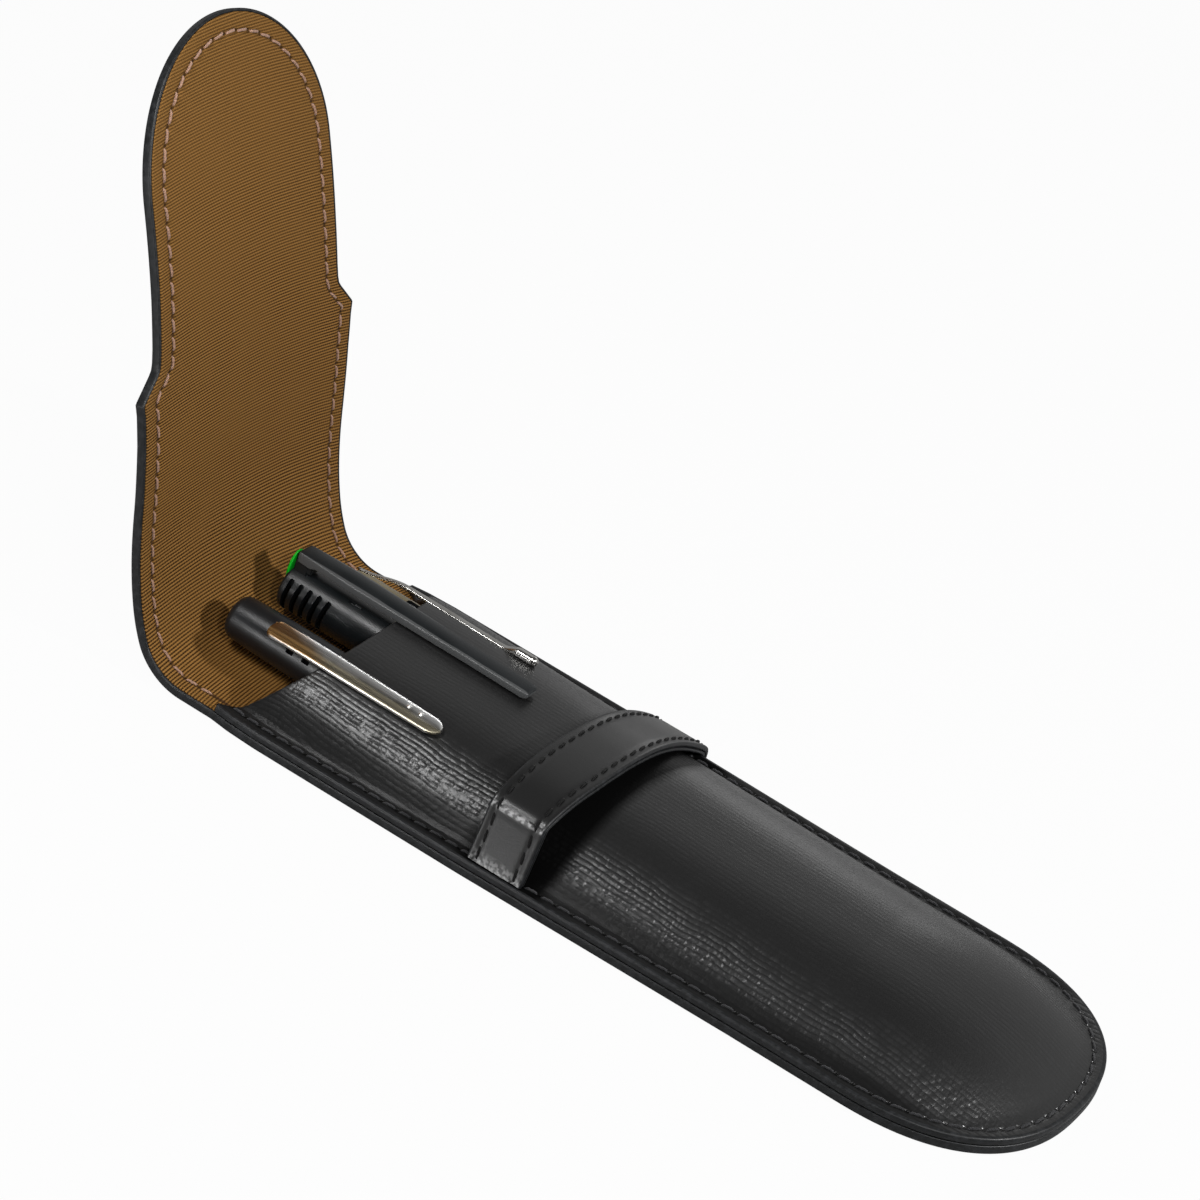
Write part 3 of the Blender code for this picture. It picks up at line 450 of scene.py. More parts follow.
def add_stitch(surface, seam, centre, radius, flip=1.0):
    """Add one stitch: a twisted thread that rises from one needle hole and dips into the next."""
    half = seam.pitch * STITCH_SHARE / 2
    normal = unit(seam.at(centre, seam.normals) * flip)
    rows = []
    for step in np.linspace(-1.0, 1.0, STITCH_ROWS):
        length = centre + step * half
        ahead = unit(seam.at(length + 0.2, seam.points) - seam.at(length - 0.2, seam.points))
        side = np.cross(normal, ahead)
        height = STITCH_LIFT - (STITCH_LIFT + STITCH_SINK) * abs(step) ** 5
        middle = seam.at(length, seam.points) + normal * height + side * STITCH_SLANT * step
        girth = radius * (1.0 - 0.3 * abs(step) ** 4)
        ring = []
        for turn in circle(STITCH_SIDES):
            twist = 2 * turn - math.tau * (step * half) / PLY_PITCH
            reach = girth * (1.0 + PLY_DEPTH * math.cos(twist))
            ring.append(middle + reach * (side * math.cos(turn) + normal * math.sin(turn)))
        rows.append(ring)
    flat = np.zeros((STITCH_ROWS, STITCH_SIDES, 2))
    flat[..., 0] = np.linspace(0.0, 2 * half, STITCH_ROWS)[:, None]
    flat[..., 1] = np.linspace(0.0, 1.0, STITCH_SIDES)[None, :]
    surface.tube(np.array(rows), flat, flat, [0] * STITCH_SIDES)


def sewn(name, seam, wanted, look, radius=THREAD / 2, flip=1.0):
    """One object of all the stitches whose tag is wanted, or None."""
    surface = Surface()
    for index in range(seam.count):
        centre = (index + 0.5) * seam.pitch
        if wanted(float(np.interp(centre, seam.lengths, seam.tags))):
            add_stitch(surface, seam, centre, radius, flip)
    return surface.piece(name, [look], 80.0) if surface.points else None


def strap_seam(level):
    """The seam round the flap, from the near mouth corner over the tongue to the far one."""
    runs = spaced(SEAM_START, TONGUE_SHOULDER, TONGUE_STEP)
    rim = tipped_rim(runs, tongue_tip, SEAM_TIP_STEPS, SEAM_INSET)
    points = [strap_place(run, across, level) for run, across in rim]
    faces = [facing(strap_line(run)[1]) for run, _ in rim]
    return Seam(points, [(x, 0.0, z) for x, z in faces], [run for run, _ in rim])


def pucker(inset, along, seam_inset, pitch, depth):
    """How far a face is drawn down by a seam, deepest at the needle holes."""
    off = (inset - seam_inset) / PUCKER_REACH
    hole = 0.5 + 0.5 * math.cos(math.tau * along / pitch)
    return depth * math.exp(-off * off) * (PUCKER_EVEN + (1.0 - PUCKER_EVEN) * hole)


def along_seam(seam, run, side):
    """Length along the flap's seam at a run of its near (-1) or far (1) side."""
    half = len(seam.tags) // 2
    length = float(np.interp(run, seam.tags[:half + 1], seam.lengths[:half + 1]))
    return length if side < 0 else seam.lengths[-1] - length


def strap_layer(name, rows, columns, pitch, depth, looks, wrap=False):
    """A layer of the strap, from rows that hold (along the seam, run, across) of each column."""
    points = np.zeros((len(rows), len(columns), 3))
    plans = np.zeros((len(rows), len(columns), 2))
    seams = np.zeros(plans.shape)
    for i, row in enumerate(rows):
        for j, (column, (along, run, across)) in enumerate(zip(columns, row)):
            drop = pucker(column.inset, along, SEAM_INSET, pitch, depth) * column.face
            points[i, j] = strap_place(run, across, column.level - drop)
            plans[i, j] = (run, across)
            seams[i, j] = (along / pitch, column.inset)
    following = columns[1:] + columns[:1]
    zones = [max(a.zone, b.zone) for a, b in zip(columns, following)]
    surface = Surface()
    surface.grid(points, plans, seams, zones, wrap)
    return surface.piece(name, looks)


def strap_strip(name, runs, section, seam, depth, looks):
    """A stretch of one layer of the strap, between two runs."""
    columns = [(1.0, column) for column in section]
    columns += [(-1.0, column) for column in reversed(section[1:-1])]
    rows = []
    for run in runs:
        along = {side: along_seam(seam, run, side) for side in (-1.0, 1.0)}
        rows.append([(along[side], run, side * column.share * strap_half(run, column.inset))
                     for side, column in columns])
    return strap_layer(name, rows, [column for _, column in columns], seam.pitch, depth, looks,
                       wrap=True)


def tipped_layer(name, runs, tip, fan, section, seam, depth, looks):
    """A layer of the strap that ends in a rounded tip."""
    rims = {column.inset: tipped_rim(runs, tip, STRAP_TIP_STEPS, column.inset)
            for column in section}
    rows = []
    for i, (guide, side) in enumerate(tipped_rim(runs, tip, STRAP_TIP_STEPS, SEAM_INSET)):
        along = along_seam(seam, guide, math.copysign(1.0, side)) if seam else 0.0
        row = []
        for column in section:
            run, across = rims[column.inset][i]
            if column.share < 1.0:
                spine = max(run, fan) if fan < 0 else min(run, fan)
                run = spine + (run - spine) * column.share
            row.append((along, run, across * column.share))
        rows.append(row)
    return strap_layer(name, rows, section, seam.pitch if seam else STITCH_PITCH, depth, looks)


class Value:
    """A number or a colour inside a node tree, which takes plain sums."""

    def __init__(self, graph, socket):
        self.graph = graph
        self.socket = socket

    def __add__(self, other):
        return self.graph.math("ADD", self, other)

    def __sub__(self, other):
        return self.graph.math("SUBTRACT", self, other)

    def __mul__(self, other):
        return self.graph.math("MULTIPLY", self, other)

    def __truediv__(self, other):
        return self.graph.math("DIVIDE", self, other)

    def __abs__(self):
        return self.graph.math("ABSOLUTE", self)


class Graph:
    """The node tree of a material or the world, with short calls for the nodes that it uses."""

    def __init__(self, owner, shader="Principled BSDF"):
        owner.use_nodes = True
        self.owner = owner
        self.tree = owner.node_tree
        self.shader = self.tree.nodes[shader]

    def set(self, **values):
        """Set inputs of the shader; an underscore stands for a space."""
        for name, value in values.items():
            self.put(self.shader.inputs[name.replace("_", " ")], value)

    def put(self, socket, value):
        """Link a socket to a value of the tree, or give it a number or a colour."""
        if isinstance(value, Value):
            self.tree.links.new(value.socket, socket)
        elif isinstance(value, tuple) and len(value) == 3 and socket.type == "RGBA":
            socket.default_value = (*value, 1.0)
        else:
            socket.default_value = value

    def node(self, kind, inputs=(), output=0, **settings):
        """One output of a new node, with its inputs, by name or number, and its settings."""
        made = self.tree.nodes.new("ShaderNode" + kind)
        for name, value in settings.items():
            setattr(made, name, value)
        for name, value in dict(inputs).items():
            self.put(made.inputs[name], value)
        return Value(self, made.outputs[output])

    def math(self, operation, a, b=0.0):
        """A Math node's result."""
        return self.node("Math", {0: a, 1: b}, operation=operation)

    def place(self, output="Object"):
        """The place of a point, in metres for a piece."""
        return self.node("TexCoord", output=output)

    def uv(self, layer):
        """The two numbers of a texture map."""
        source = self.node("UVMap", uv_map=layer)
        return [self.node("SeparateXYZ", {0: source}, axis) for axis in ("X", "Y")]

    def vector(self, x, y):
        """A vector of two numbers."""
        return self.node("CombineXYZ", {0: x, 1: y})

    def noise(self, vector, scale, detail=2.0, roughness=0.5):
        """A noise texture's value."""
        return self.node("TexNoise", {"Vector": vector, "Scale": scale, "Detail": detail,
                                      "Roughness": roughness})

    def wave(self, turns):
        """A wave from 0 to 1 and back over each whole number."""
        return self.math("SINE", turns * math.tau) * 0.5 + 0.5

    def ramp(self, value, low, high, to_low=0.0, to_high=1.0, **settings):
        """A value mapped from one range to another, and kept inside it."""
        return self.node("MapRange", {"Value": value, "From Min": low, "From Max": high,
                                      "To Min": to_low, "To Max": to_high}, **settings)

    def mix(self, share, a, b):
        """A mix of two colours."""
        return self.node("Mix", {0: share, 6: a, 7: b}, 2, data_type="RGBA")

    def bump(self, height, distance, strength=1.0, normal=None):
        """A bump from a height, whose full range is a distance in millimetres."""
        inputs = {"Height": height, "Distance": distance * MM, "Strength": strength}
        if normal:
            inputs["Normal"] = normal
        return self.node("Bump", inputs)


GRAIN_ROW = 1.05
GRAIN_BEAD = 1.15
LEATHER_DARK = (0.023, 0.023, 0.0235)
LEATHER_PALE = (0.033, 0.033, 0.0335)
GROOVE_BLACK = (0.007, 0.007, 0.007)
# Black of the needle holes, and of the painted shade beside and under the loop
HOLE_AND_LOOP_SHADE_BLACK = (0.002, 0.002, 0.002)
# Colour of the painted glints on the loop's crease
CREASE_GLINT_GREY = (0.26, 0.26, 0.26)


def material(name):
    """The graph of a new material."""
    return Graph(bpy.data.materials.new(name))


def toned(colour, tone):
    """A colour made darker or lighter."""
    return tuple(part * tone for part in colour)


def leather_look(name, holes=True, grain=0.15, rows=1.0, tone=1.0, gloss=0.5, loop_shaded=False,
                 crease_glints=False):
    """Black cross-grain leather: long wavy ridges with beads, pores and needle holes."""
    g = material(name)
    u, v = g.uv("Plan")
    plan = g.vector(u, v)
    row = v / GRAIN_ROW + (g.noise(plan, 0.06) * 2.2 + g.noise(plan, 0.42) * 0.34)
    number = g.math("FLOOR", row)
    arch = g.math("SINE", g.math("FRACT", row) * math.pi)
    arch = g.math("POWER", g.math("MAXIMUM", arch, 0.0), 1.1)
    beads = g.noise(g.vector(u / GRAIN_BEAD, number * 5.7), 1.0, 1.0)
    runs = g.noise(g.vector(u * 0.12, number * 3.1), 1.0)
    broken = g.ramp(beads, 0.36, 0.62, 0.25) * g.ramp(runs, 0.3, 0.62, 0.25)
    side = abs(v)
    foot = g.ramp(side, 24.3, 27.0, 1.0, 0.22)
    slope = g.ramp(side, 15.0, 22.0, 0.13) * foot
    ridges = arch * broken * (slope * rows)
    pores = g.noise(plan, 3.6, 4.0, 0.62)
    lines = g.noise(g.vector(u * 3.0, v * 0.7), 1.0)
    normal = g.bump(ridges + (pores * 0.16 + lines * 0.1), grain)
    cloud = g.ramp(g.noise(plan, 0.06, 3.0), 0.3, 0.7)
    colour = g.mix(cloud, toned(LEATHER_DARK, tone), toned(LEATHER_PALE, tone))
    colour = g.mix(g.ramp(ridges, 0.0, 0.5), GROOVE_BLACK, colour)
    if holes:
        dark, normal = needle_holes(g, normal, FLANGE_SEAM_INSET)
        colour = g.mix(dark, colour, HOLE_AND_LOOP_SHADE_BLACK)
    shine = foot * gloss
    # Painted shade: the panel turns black and loses its shine beside and under the loop
    if loop_shaded:
        kept = painted_loop_shade(g, u, v)
        colour = g.mix(kept, HOLE_AND_LOOP_SHADE_BLACK, colour)
        shine = shine * kept
    # Painted highlight: pale glints along the loop's crease and foot
    if crease_glints:
        colour = g.mix(painted_crease_glints(g, u, plan), colour, CREASE_GLINT_GREY)
    g.set(Base_Color=colour, Roughness=g.ramp(pores, 0.3, 0.7, 0.29, 0.39), Normal=normal,
          Specular_IOR_Level=shine)
    return g.owner


def painted_crease_glints(g, u, plan):
    """Painted highlight: pale glints where the loop's leather is creased, at its near corner and
    its foot.
    """
    corner = g.ramp(abs(u - LOOP_CREASE), 0.3, 0.75, 1.0, 0.0)
    foot = g.ramp(u, 1.2, 2.6, 0.5, 0.0)
    specks = g.ramp(g.noise(plan, 1.1, 1.0), 0.42, 0.6)
    return g.math("MAXIMUM", corner, foot) * specks


def painted_loop_shade(g, u, v):
    """How much colour and shine the panel keeps: little beside and under the loop, where a shade is
    painted.
    """
    along = u - LOOP_X
    before = g.ramp(along, *LOOP_SHADE_BEFORE, 1.0, LOOP_SHADE)
    drift = g.ramp(v, 2.0, 22.0, 0.0, 2.4)
    after = g.ramp(along - drift, *LOOP_SHADE_AFTER, LOOP_SHADE, 1.0)
    return g.math("MAXIMUM", before, after)


def needle_holes(g, normal, seam_inset):
    """Dark dots where the thread goes down, and the groove between them."""
    along, inset = g.uv("Seam")
    off = abs(inset - seam_inset)
    reach = abs(g.math("FRACT", along + 0.5) - 0.5) * STITCH_PITCH
    distance = g.math("SQRT", off * off + reach * reach)
    hole = g.ramp(distance, 0.18, 0.5, 1.0, 0.0)
    groove = g.ramp(off, 0.1, 0.65, 0.45, 0.0)
    dent = hole * -1.0 + groove * -0.5
    return g.math("MAXIMUM", hole, groove), g.bump(dent, 0.25, 0.8, normal)


RIB_RATE = 1.45
RIB_GAIN = 0.46
RIB_EASE = 40.0
RIB_START = 35.0
RIB_LEAN = 0.012
RIB_BOW = 0.0025
YARN_PITCH = 0.66
YARN_SLANT = 0.45
YARN_STAGGER = 0.37
TWILL_DARK = (0.019, 0.007, 0.0)
TWILL_PALE = (0.272, 0.134, 0.033)
TWILL_HOLE = (0.022, 0.009, 0.004)


def twill_look(name):
    """Tan twill: fine ribs across the flap, each a row of slanted yarns."""
    g = material(name)
    run, across = g.uv("Plan")
    plan = g.vector(run, across)
    lifted = run + across * across * RIB_BOW + across * RIB_LEAN
    past = g.math("MAXIMUM", lifted - RIB_START, 0.0)
    gain = past * past / (past + RIB_EASE)
    sway = (g.noise(plan, 0.05) - 0.5) * 0.9
    rib = lifted * RIB_RATE + gain * RIB_GAIN + sway
    turned_rib = rib + 0.25
    yarn = across / YARN_PITCH + (g.math("FRACT", turned_rib) * YARN_SLANT
                                  + g.math("FLOOR", turned_rib) * YARN_STAGGER)
    height = g.wave(rib) * 0.8 + g.wave(yarn) * 0.2
    fibre = g.noise(g.vector(run * 4.0, across * 1.3), 1.6, 3.0, 0.6)
    patch = g.ramp(g.noise(plan, 0.09, 3.0), 0.35, 0.6, 0.75)
    strength = g.ramp(run, 70.0, 105.0, 1.0, 0.6) * patch
    dark, normal = needle_holes(g, g.bump(height + fibre * 0.25, 0.13), SEAM_INSET)
    shade = g.ramp(height, 0.15, 0.8) * g.ramp(fibre, 0.2, 0.8, 0.75)
    colour = g.mix((shade - 0.5) * strength + 0.5, TWILL_DARK, TWILL_PALE)
    colour = g.mix(dark * 0.8, colour, TWILL_HOLE)
    g.set(Base_Color=colour, Roughness=0.82, Normal=normal, Specular_IOR_Level=0.12)
    return g.owner


def edge_look(name, low, high):
    """Painted leather edge: smooth black paint, thin where it is rubbed."""
    g = material(name)
    wear_and_sheen = g.noise(g.place(), 900.0, 4.0, 0.6)
    waves = g.noise(g.place(), 260.0)
    g.set(Base_Color=g.mix(g.ramp(wear_and_sheen, 0.45, 0.75), low, high),
          Roughness=g.ramp(wear_and_sheen, 0.3, 0.7, 0.38, 0.52),
          Normal=g.bump(wear_and_sheen + waves, 0.05), Specular_IOR_Level=0.3)
    return g.owner


def thread_look(name, low, high, gloss=0.3):
    """Sewing thread: twisted plies with loose fibres."""
    g = material(name)
    along, turn = g.uv("Plan")
    twist = g.math("SINE", (along * 3.4 + turn * 2.0) * math.tau)
    fibre = g.noise(g.place(), 5200.0)
    colour = g.mix(g.ramp(twist * 0.25 + fibre, 0.2, 0.9), low, high)
    g.set(Base_Color=colour, Roughness=0.62, Normal=g.bump(twist + fibre, 0.03),
          Specular_IOR_Level=gloss, Sheen_Weight=0.6 * gloss)
    return g.owner


def plastic_look(name, low, high, rough, wear_and_sheen=None):
    """Moulded plastic with a very fine spark-eroded texture."""
    g = material(name)
    fine = g.noise(g.place(), 3800.0, 3.0, 0.7)
    smear = g.noise(g.place(), 120.0, 3.0)
    colour = g.mix(g.ramp(smear, 0.3, 0.7), low, high)
    # Painted sheen: the sides of the bar clip are lighter
    if wear_and_sheen:
        side = abs(g.uv("Plan")[1]) + (smear - 0.5) * 0.4
        colour = g.mix(g.ramp(side, 1.75, 1.95), colour, wear_and_sheen)
    g.set(Base_Color=colour, Roughness=g.ramp(smear, 0.3, 0.7, rough - 0.05, rough + 0.06),
          Normal=g.bump(fine, 0.02), Specular_IOR_Level=0.36)
    return g.owner


def fine_lines(g, roughness=0.5):
    """Very fine lines along a pen."""
    squeezed = g.node("Mapping", {"Vector": g.place(), "Scale": (40.0, 2600.0, 2600.0)})
    return g.noise(squeezed, 1.0, 3.0, roughness)


def steel_look(name, low, high, rough, streak):
    """Steel with fine lines along the pen."""
    g = material(name)
    lines = fine_lines(g, 0.6)
    smear = g.noise(g.place(), 160.0, 3.0)
    g.set(Base_Color=g.mix(g.ramp(smear, 0.3, 0.7), low, high), Metallic=1.0,
          Roughness=g.ramp(lines, 0.3, 0.7, rough - 0.05, rough + 0.07),
          Normal=g.bump(lines, streak))
    return g.owner


def painted_reflection_clip_look(name):
    """Polished steel whose colour holds a painted reflection: warm tones of the lining at its head
    and middle, pale grey towards its far side and grey on its near lip.
    """
    g = material(name)
    along, across = g.uv("Plan")
    place = across + (g.noise(g.place(), 220.0, 3.0) - 0.5) * 1.2
    # Painted reflection: warm olive brown in the middle turning pale grey towards the far side, a
    # brown head and a grey near lip
    colour = g.mix(g.ramp(place, -0.3, 0.8), (0.25, 0.225, 0.165), (0.85, 0.85, 0.84))
    head = g.ramp(along + place * 2.0, 7.0, 13.0, 1.0, 0.0)
    colour = g.mix(head * 0.9, colour, (0.30, 0.17, 0.06))
    colour = g.mix(g.ramp(across, -1.6, -1.9), colour, (0.28, 0.27, 0.26))
    lines = fine_lines(g)
    g.set(Base_Color=colour, Metallic=1.0, Roughness=g.ramp(lines, 0.3, 0.7, 0.24, 0.34),
          Normal=g.bump(lines, 0.004))
    return g.owner


# The other looks: maker, label, and what the maker is told
SATIN = ((0.005, 0.0062, 0.007), (0.008, 0.0095, 0.0105), 0.36)
PLAIN_LOOKS = (
    (edge_look, "edge", "edge_paint", (0.006, 0.0065, 0.007), (0.018, 0.019, 0.021)),
    (thread_look, "black_thread", "black_thread", (0.008, 0.008, 0.009), (0.032, 0.032, 0.035),
     0.2),
    (thread_look, "dark_thread", "dark_thread", (0.003, 0.003, 0.003), (0.009, 0.009, 0.009),
     0.08),
    (thread_look, "tan_thread", "tan_thread", (0.16, 0.08, 0.05), (0.42, 0.25, 0.17)),
    (plastic_look, "near", "black_near_pen", (0.004, 0.0045, 0.0055), (0.006, 0.0068, 0.008),
     0.32),
    (plastic_look, "middle", "black_middle_pen", *SATIN),
    # The bar clip's last colour is a painted sheen on its sides
    (plastic_look, "bar", "black_middle_clip", *SATIN, (0.058, 0.060, 0.061)),
    (plastic_look, "green", "green_plug", (0.0, 0.36, 0.012), (0.0, 0.44, 0.016), 0.4),
    (steel_look, "brushed", "brushed_steel", (0.30, 0.25, 0.15), (0.40, 0.34, 0.22), 0.27,
     0.012),
    (steel_look, "polished", "polished_steel", (0.34, 0.33, 0.31), (0.52, 0.51, 0.49), 0.24,
     0.001),
)


def make_looks():
    """Every material of the object."""
    looks = {
        # The front panel's leather carries a painted shade beside and under the loop
        "leather": leather_look("black_leather", tone=0.5, gloss=0.62, loop_shaded=True),
        "back": leather_look("black_leather_back", grain=0.08),
        # The loop's leather carries painted glints along its crease and foot
        "loop": leather_look("black_loop_leather", False, 0.1, 0.12, 0.45, crease_glints=True),
        "twill": twill_look("tan_twill"),
        "clip": painted_reflection_clip_look("polished_clip_steel_painted_reflection"),
    }
    for maker, label, *values in PLAIN_LOOKS:
        looks[label] = maker(*values)
    return looks


def panel_height(x, share):
    """Height of the front panel's outer face over its flange."""
    height = between(x, BULGE_HEIGHTS) * (1.0 - share ** between(x, BULGE_POWERS))
    return (height + math.hypot(height, BULGE_FILLET)) / 2


def scoop_shift(x, y):
    """How far a panel point draws back along the pouch, most at the mouth edge."""
    share = min(1.0, abs(y) / SCOOP_HALF)
    return SCOOP_DEPTH * (1.0 - share ** SCOOP_POWER) * max(0.0, 1.0 - x / SCOOP_FADE)


PANEL_TIP_STEPS = 110
PANEL_COLUMNS = 46
PANEL_STEP = 0.6
PANEL_ASPECT = 10.0 / 27.5
PANEL_PUCKER = 0.16
MOUTH_ROUND = 0.45
FLANGE_INSETS = (0.75, 1.05, 1.4, 1.75, 2.0, 2.15, 2.3, 2.45, 2.6, 2.85, 3.15)


def panel_shares():
    """Shares of the way from the spine to the flange, closer together on the slope."""
    fine = np.linspace(0.0, 1.0, 400)
    height = PANEL_ASPECT * (1.0 - fine ** 3.3)
    lengths = lengths_along(np.stack([fine, height], axis=1))
    return np.interp(np.linspace(lengths[-1], 0.0, PANEL_COLUMNS), lengths, fine)


def panel_rim(runs, inset):
    """The front panel's outline as (run, across), an inset from its edge."""
    return tipped_rim(runs, pouch_tip, PANEL_TIP_STEPS, inset)


def panel_outer(runs):
    """Grid of the front panel's outer face, and the line of its seam."""
    flange = {inset: panel_rim(runs, inset) for inset in FLANGE_INSETS}
    inner = panel_rim(runs, FLANGE_WIDTH)
    shares = panel_shares()
    rows = np.zeros((len(inner), len(FLANGE_INSETS) + len(shares), 3))
    for i, (run, across) in enumerate(inner):
        spine = min(-run, POUCH_FAN)
        reach = np.hypot(-run - spine, across)
        for j, inset in enumerate(FLANGE_INSETS):
            x, y = -flange[inset][i][0], flange[inset][i][1]
            share = 1.0 + (FLANGE_WIDTH - inset) / reach
            z = FLANGE_TOP + panel_height(spine, share) - BULGE_FILLET * 0.05
            rows[i, j] = (x + scoop_shift(x, y), y, z)
        for j, share in enumerate(shares):
            x = spine + (-run - spine) * share
            y = across * share
            z = FLANGE_TOP + panel_height(x if share < 1 else spine, share)
            rows[i, len(FLANGE_INSETS) + j] = (x + scoop_shift(x, y), y, z)
    return rows, [(-run, across) for run, across in flange[FLANGE_SEAM_INSET]]


def grid_normals(points):
    """Upward normals of the front panel's grid."""
    along = np.gradient(points, axis=0)
    mirrored = np.concatenate([points, points[::-1, -2:-1]], axis=1)
    across = np.gradient(mirrored, axis=1)[:, :-1]
    normals = np.cross(along, across)
    normals *= np.where(normals[..., 2:] < 0, -1.0, 1.0)
    sizes = np.linalg.norm(normals, axis=2, keepdims=True)
    return np.where(sizes > 1e-9, normals / np.maximum(sizes, 1e-9), (0.0, 0.0, 1.0))


def front_panel(looks):
    """The moulded front panel: domed leather with a beaded flange and a rounded mouth edge."""
    runs = spaced(-MOUTH_ROUND, -(POUCH_LENGTH - TIP_LENGTH), PANEL_STEP)
    outer, guide = panel_outer(runs)
    normals = grid_normals(outer)
    line = Seam([(x + scoop_shift(x, y), y, FLANGE_TOP) for x, y in guide],
                [(0.0, 0.0, 1.0)] * len(guide), [x for x, _ in guide])
    for j, inset in enumerate(FLANGE_INSETS):
        for i in range(len(outer)):
            outer[i, j, 2] -= pucker(inset, line.lengths[i], FLANGE_SEAM_INSET, line.pitch,
                                      PANEL_PUCKER)
    inner = outer - PANEL_LEATHER * normals
    inner[:, :len(FLANGE_INSETS), 2] = FLANGE_TOP - PANEL_LEATHER
    bead = arc(0.5, 3.0, 0.5, 90.0, 180.0, 5)[1:] + arc(0.5, 2.45, 0.5, 180.0, 262.0, 5)
    bead_grid = np.zeros((len(outer), len(bead), 3))
    for j, (inset, level) in enumerate(bead):
        for i, (run, across) in enumerate(panel_rim(runs, inset)):
            bead_grid[i, j] = (-run + scoop_shift(-run, across), across, level)
    plans, seams = panel_maps(outer, bead_grid, line)
    count = outer.shape[1]
    surface = Surface()
    surface.grid(np.concatenate([outer[:, ::-1], bead_grid, inner], axis=1), plans, seams,
                 [0] * (count - 1) + [1] * (len(bead) + 1) + [0] * count)
    for row, following in ((0, 1), (len(outer) - 1, len(outer) - 2)):
        mouth_edge(surface, outer, inner, plans, row, following)
        surface.face([outer[row, 0], *bead_grid[row], inner[row, 0]], 1)
    return surface.piece("front_leather", [looks["leather"], looks["edge"]]), line


def panel_maps(outer, bead_grid, line):
    """Texture places of the front panel: the leather laid flat, and (stitches, inset)."""
    steps = np.linalg.norm(np.diff(outer[:, ::-1], axis=1), axis=2)
    arcs = np.concatenate([np.zeros((len(outer), 1)), np.cumsum(steps, axis=1)], axis=1)
    beads = arcs[:, -1:] + 0.3 * np.arange(1, bead_grid.shape[1] + 1)
    reach = np.concatenate([arcs, beads, arcs[:, ::-1]], axis=1)
    plans = np.zeros(reach.shape + (2,))
    seams = np.full(plans.shape, OFF_SEAM)
    count = outer.shape[1]
    for i, (x, y) in enumerate(outer[:, len(FLANGE_INSETS), :2]):
        middle = outer[i, -1, :2]
        straight = middle[0] < POUCH_FAN - 1.0
        ahead = np.array((x, y)) - middle
        if straight:
            ahead[0] = 0.0
        ahead = unit(ahead)
        start = outer[i, :, 0] if straight else np.full(count, POUCH_FAN)
        start = np.concatenate([start[::-1], np.full(len(bead_grid[i]), start[0]), start])
        plans[i, :, 0] = start + reach[i] * ahead[0]
        plans[i, :, 1] = reach[i] * ahead[1]
    start = count - len(FLANGE_INSETS)
    seams[:, :, 0] = (line.lengths / line.pitch)[:, None]
    seams[:, start:count, 1] = FLANGE_INSETS[::-1]
    seams[:, :start, 1] = -OFF_SEAM
    return plans, seams


def mouth_edge(surface, outer, inner, plans, row, following):
    """The rounded cut edge of the front panel at the mouth."""
    middle = (outer[row] + inner[row]) / 2
    half = (outer[row] - inner[row]) / 2
    ahead = unit(outer[row] - outer[following]) * MOUTH_ROUND
    points = np.array([middle + half * math.cos(a) + ahead * math.sin(a)
                       for a in turns(0.0, 180.0, 9)])
    places = np.repeat(plans[row, :outer.shape[1]][None, ::-1], len(points), axis=0)
    surface.grid(points, places, np.full(places.shape, OFF_SEAM), [1] * outer.shape[1])


def smooth_path(knots, steps=20):
    """A smooth curve through knots, by Catmull-Rom interpolation."""
    points = [np.array(knot, float) for knot in knots]
    padded = [2 * points[0] - points[1]] + points + [2 * points[-1] - points[-2]]
    path = []
    for index in range(len(points) - 1):
        a, b, c, d = padded[index:index + 4]
        for step in range(steps):
            t = step / steps
            path.append(0.5 * ((2 * b) + (c - a) * t + (2 * a - 5 * b + 4 * c - d) * t ** 2
                               + (3 * b - a - 3 * c + d) * t ** 3))
    path.append(points[-1])
    return np.array(path)


def loop_half(y, inset=0.0):
    """Half the width of the loop, which is a little narrower at its near end."""
    return float(np.interp(y, (-26.0, -12.0), (LOOP_NEAR_HALF, LOOP_WIDTH / 2))) - inset


def loop_frame():
    """The loop's outer path (y, z), the way inwards from it, and its length."""
    path = smooth_path(LOOP_KNOTS)
    ahead = unit(np.gradient(path, axis=0))
    inward = np.stack([ahead[:, 1], -ahead[:, 0]], axis=1)
    return path, inward, lengths_along(path)


def band_section(half, low, high, dips, depth):
    """Ring of (offset, depth) round a band of leather, with grooves along its outer face."""
    corner = min(LOOP_EDGE, (high - low) / 2)
    side = half - corner
    ring = []
    for x in np.linspace(-side, side, 41):
        off = min(abs(x - dip) for dip in dips) / 0.6
        ring.append((x, low + depth * math.exp(-off * off)))
    ring += arc(side, low + corner, corner, -90.0, 0.0, 4)[1:]
    ring += arc(side, high - corner, corner, 0.0, 90.0, 4)
    ring += [(x, high) for x in np.linspace(side, -side, 9)[1:-1]]
    ring += arc(-side, high - corner, corner, 90.0, 180.0, 4)
    return ring + arc(-side, low + corner, corner, 180.0, 270.0, 4)[:-1]


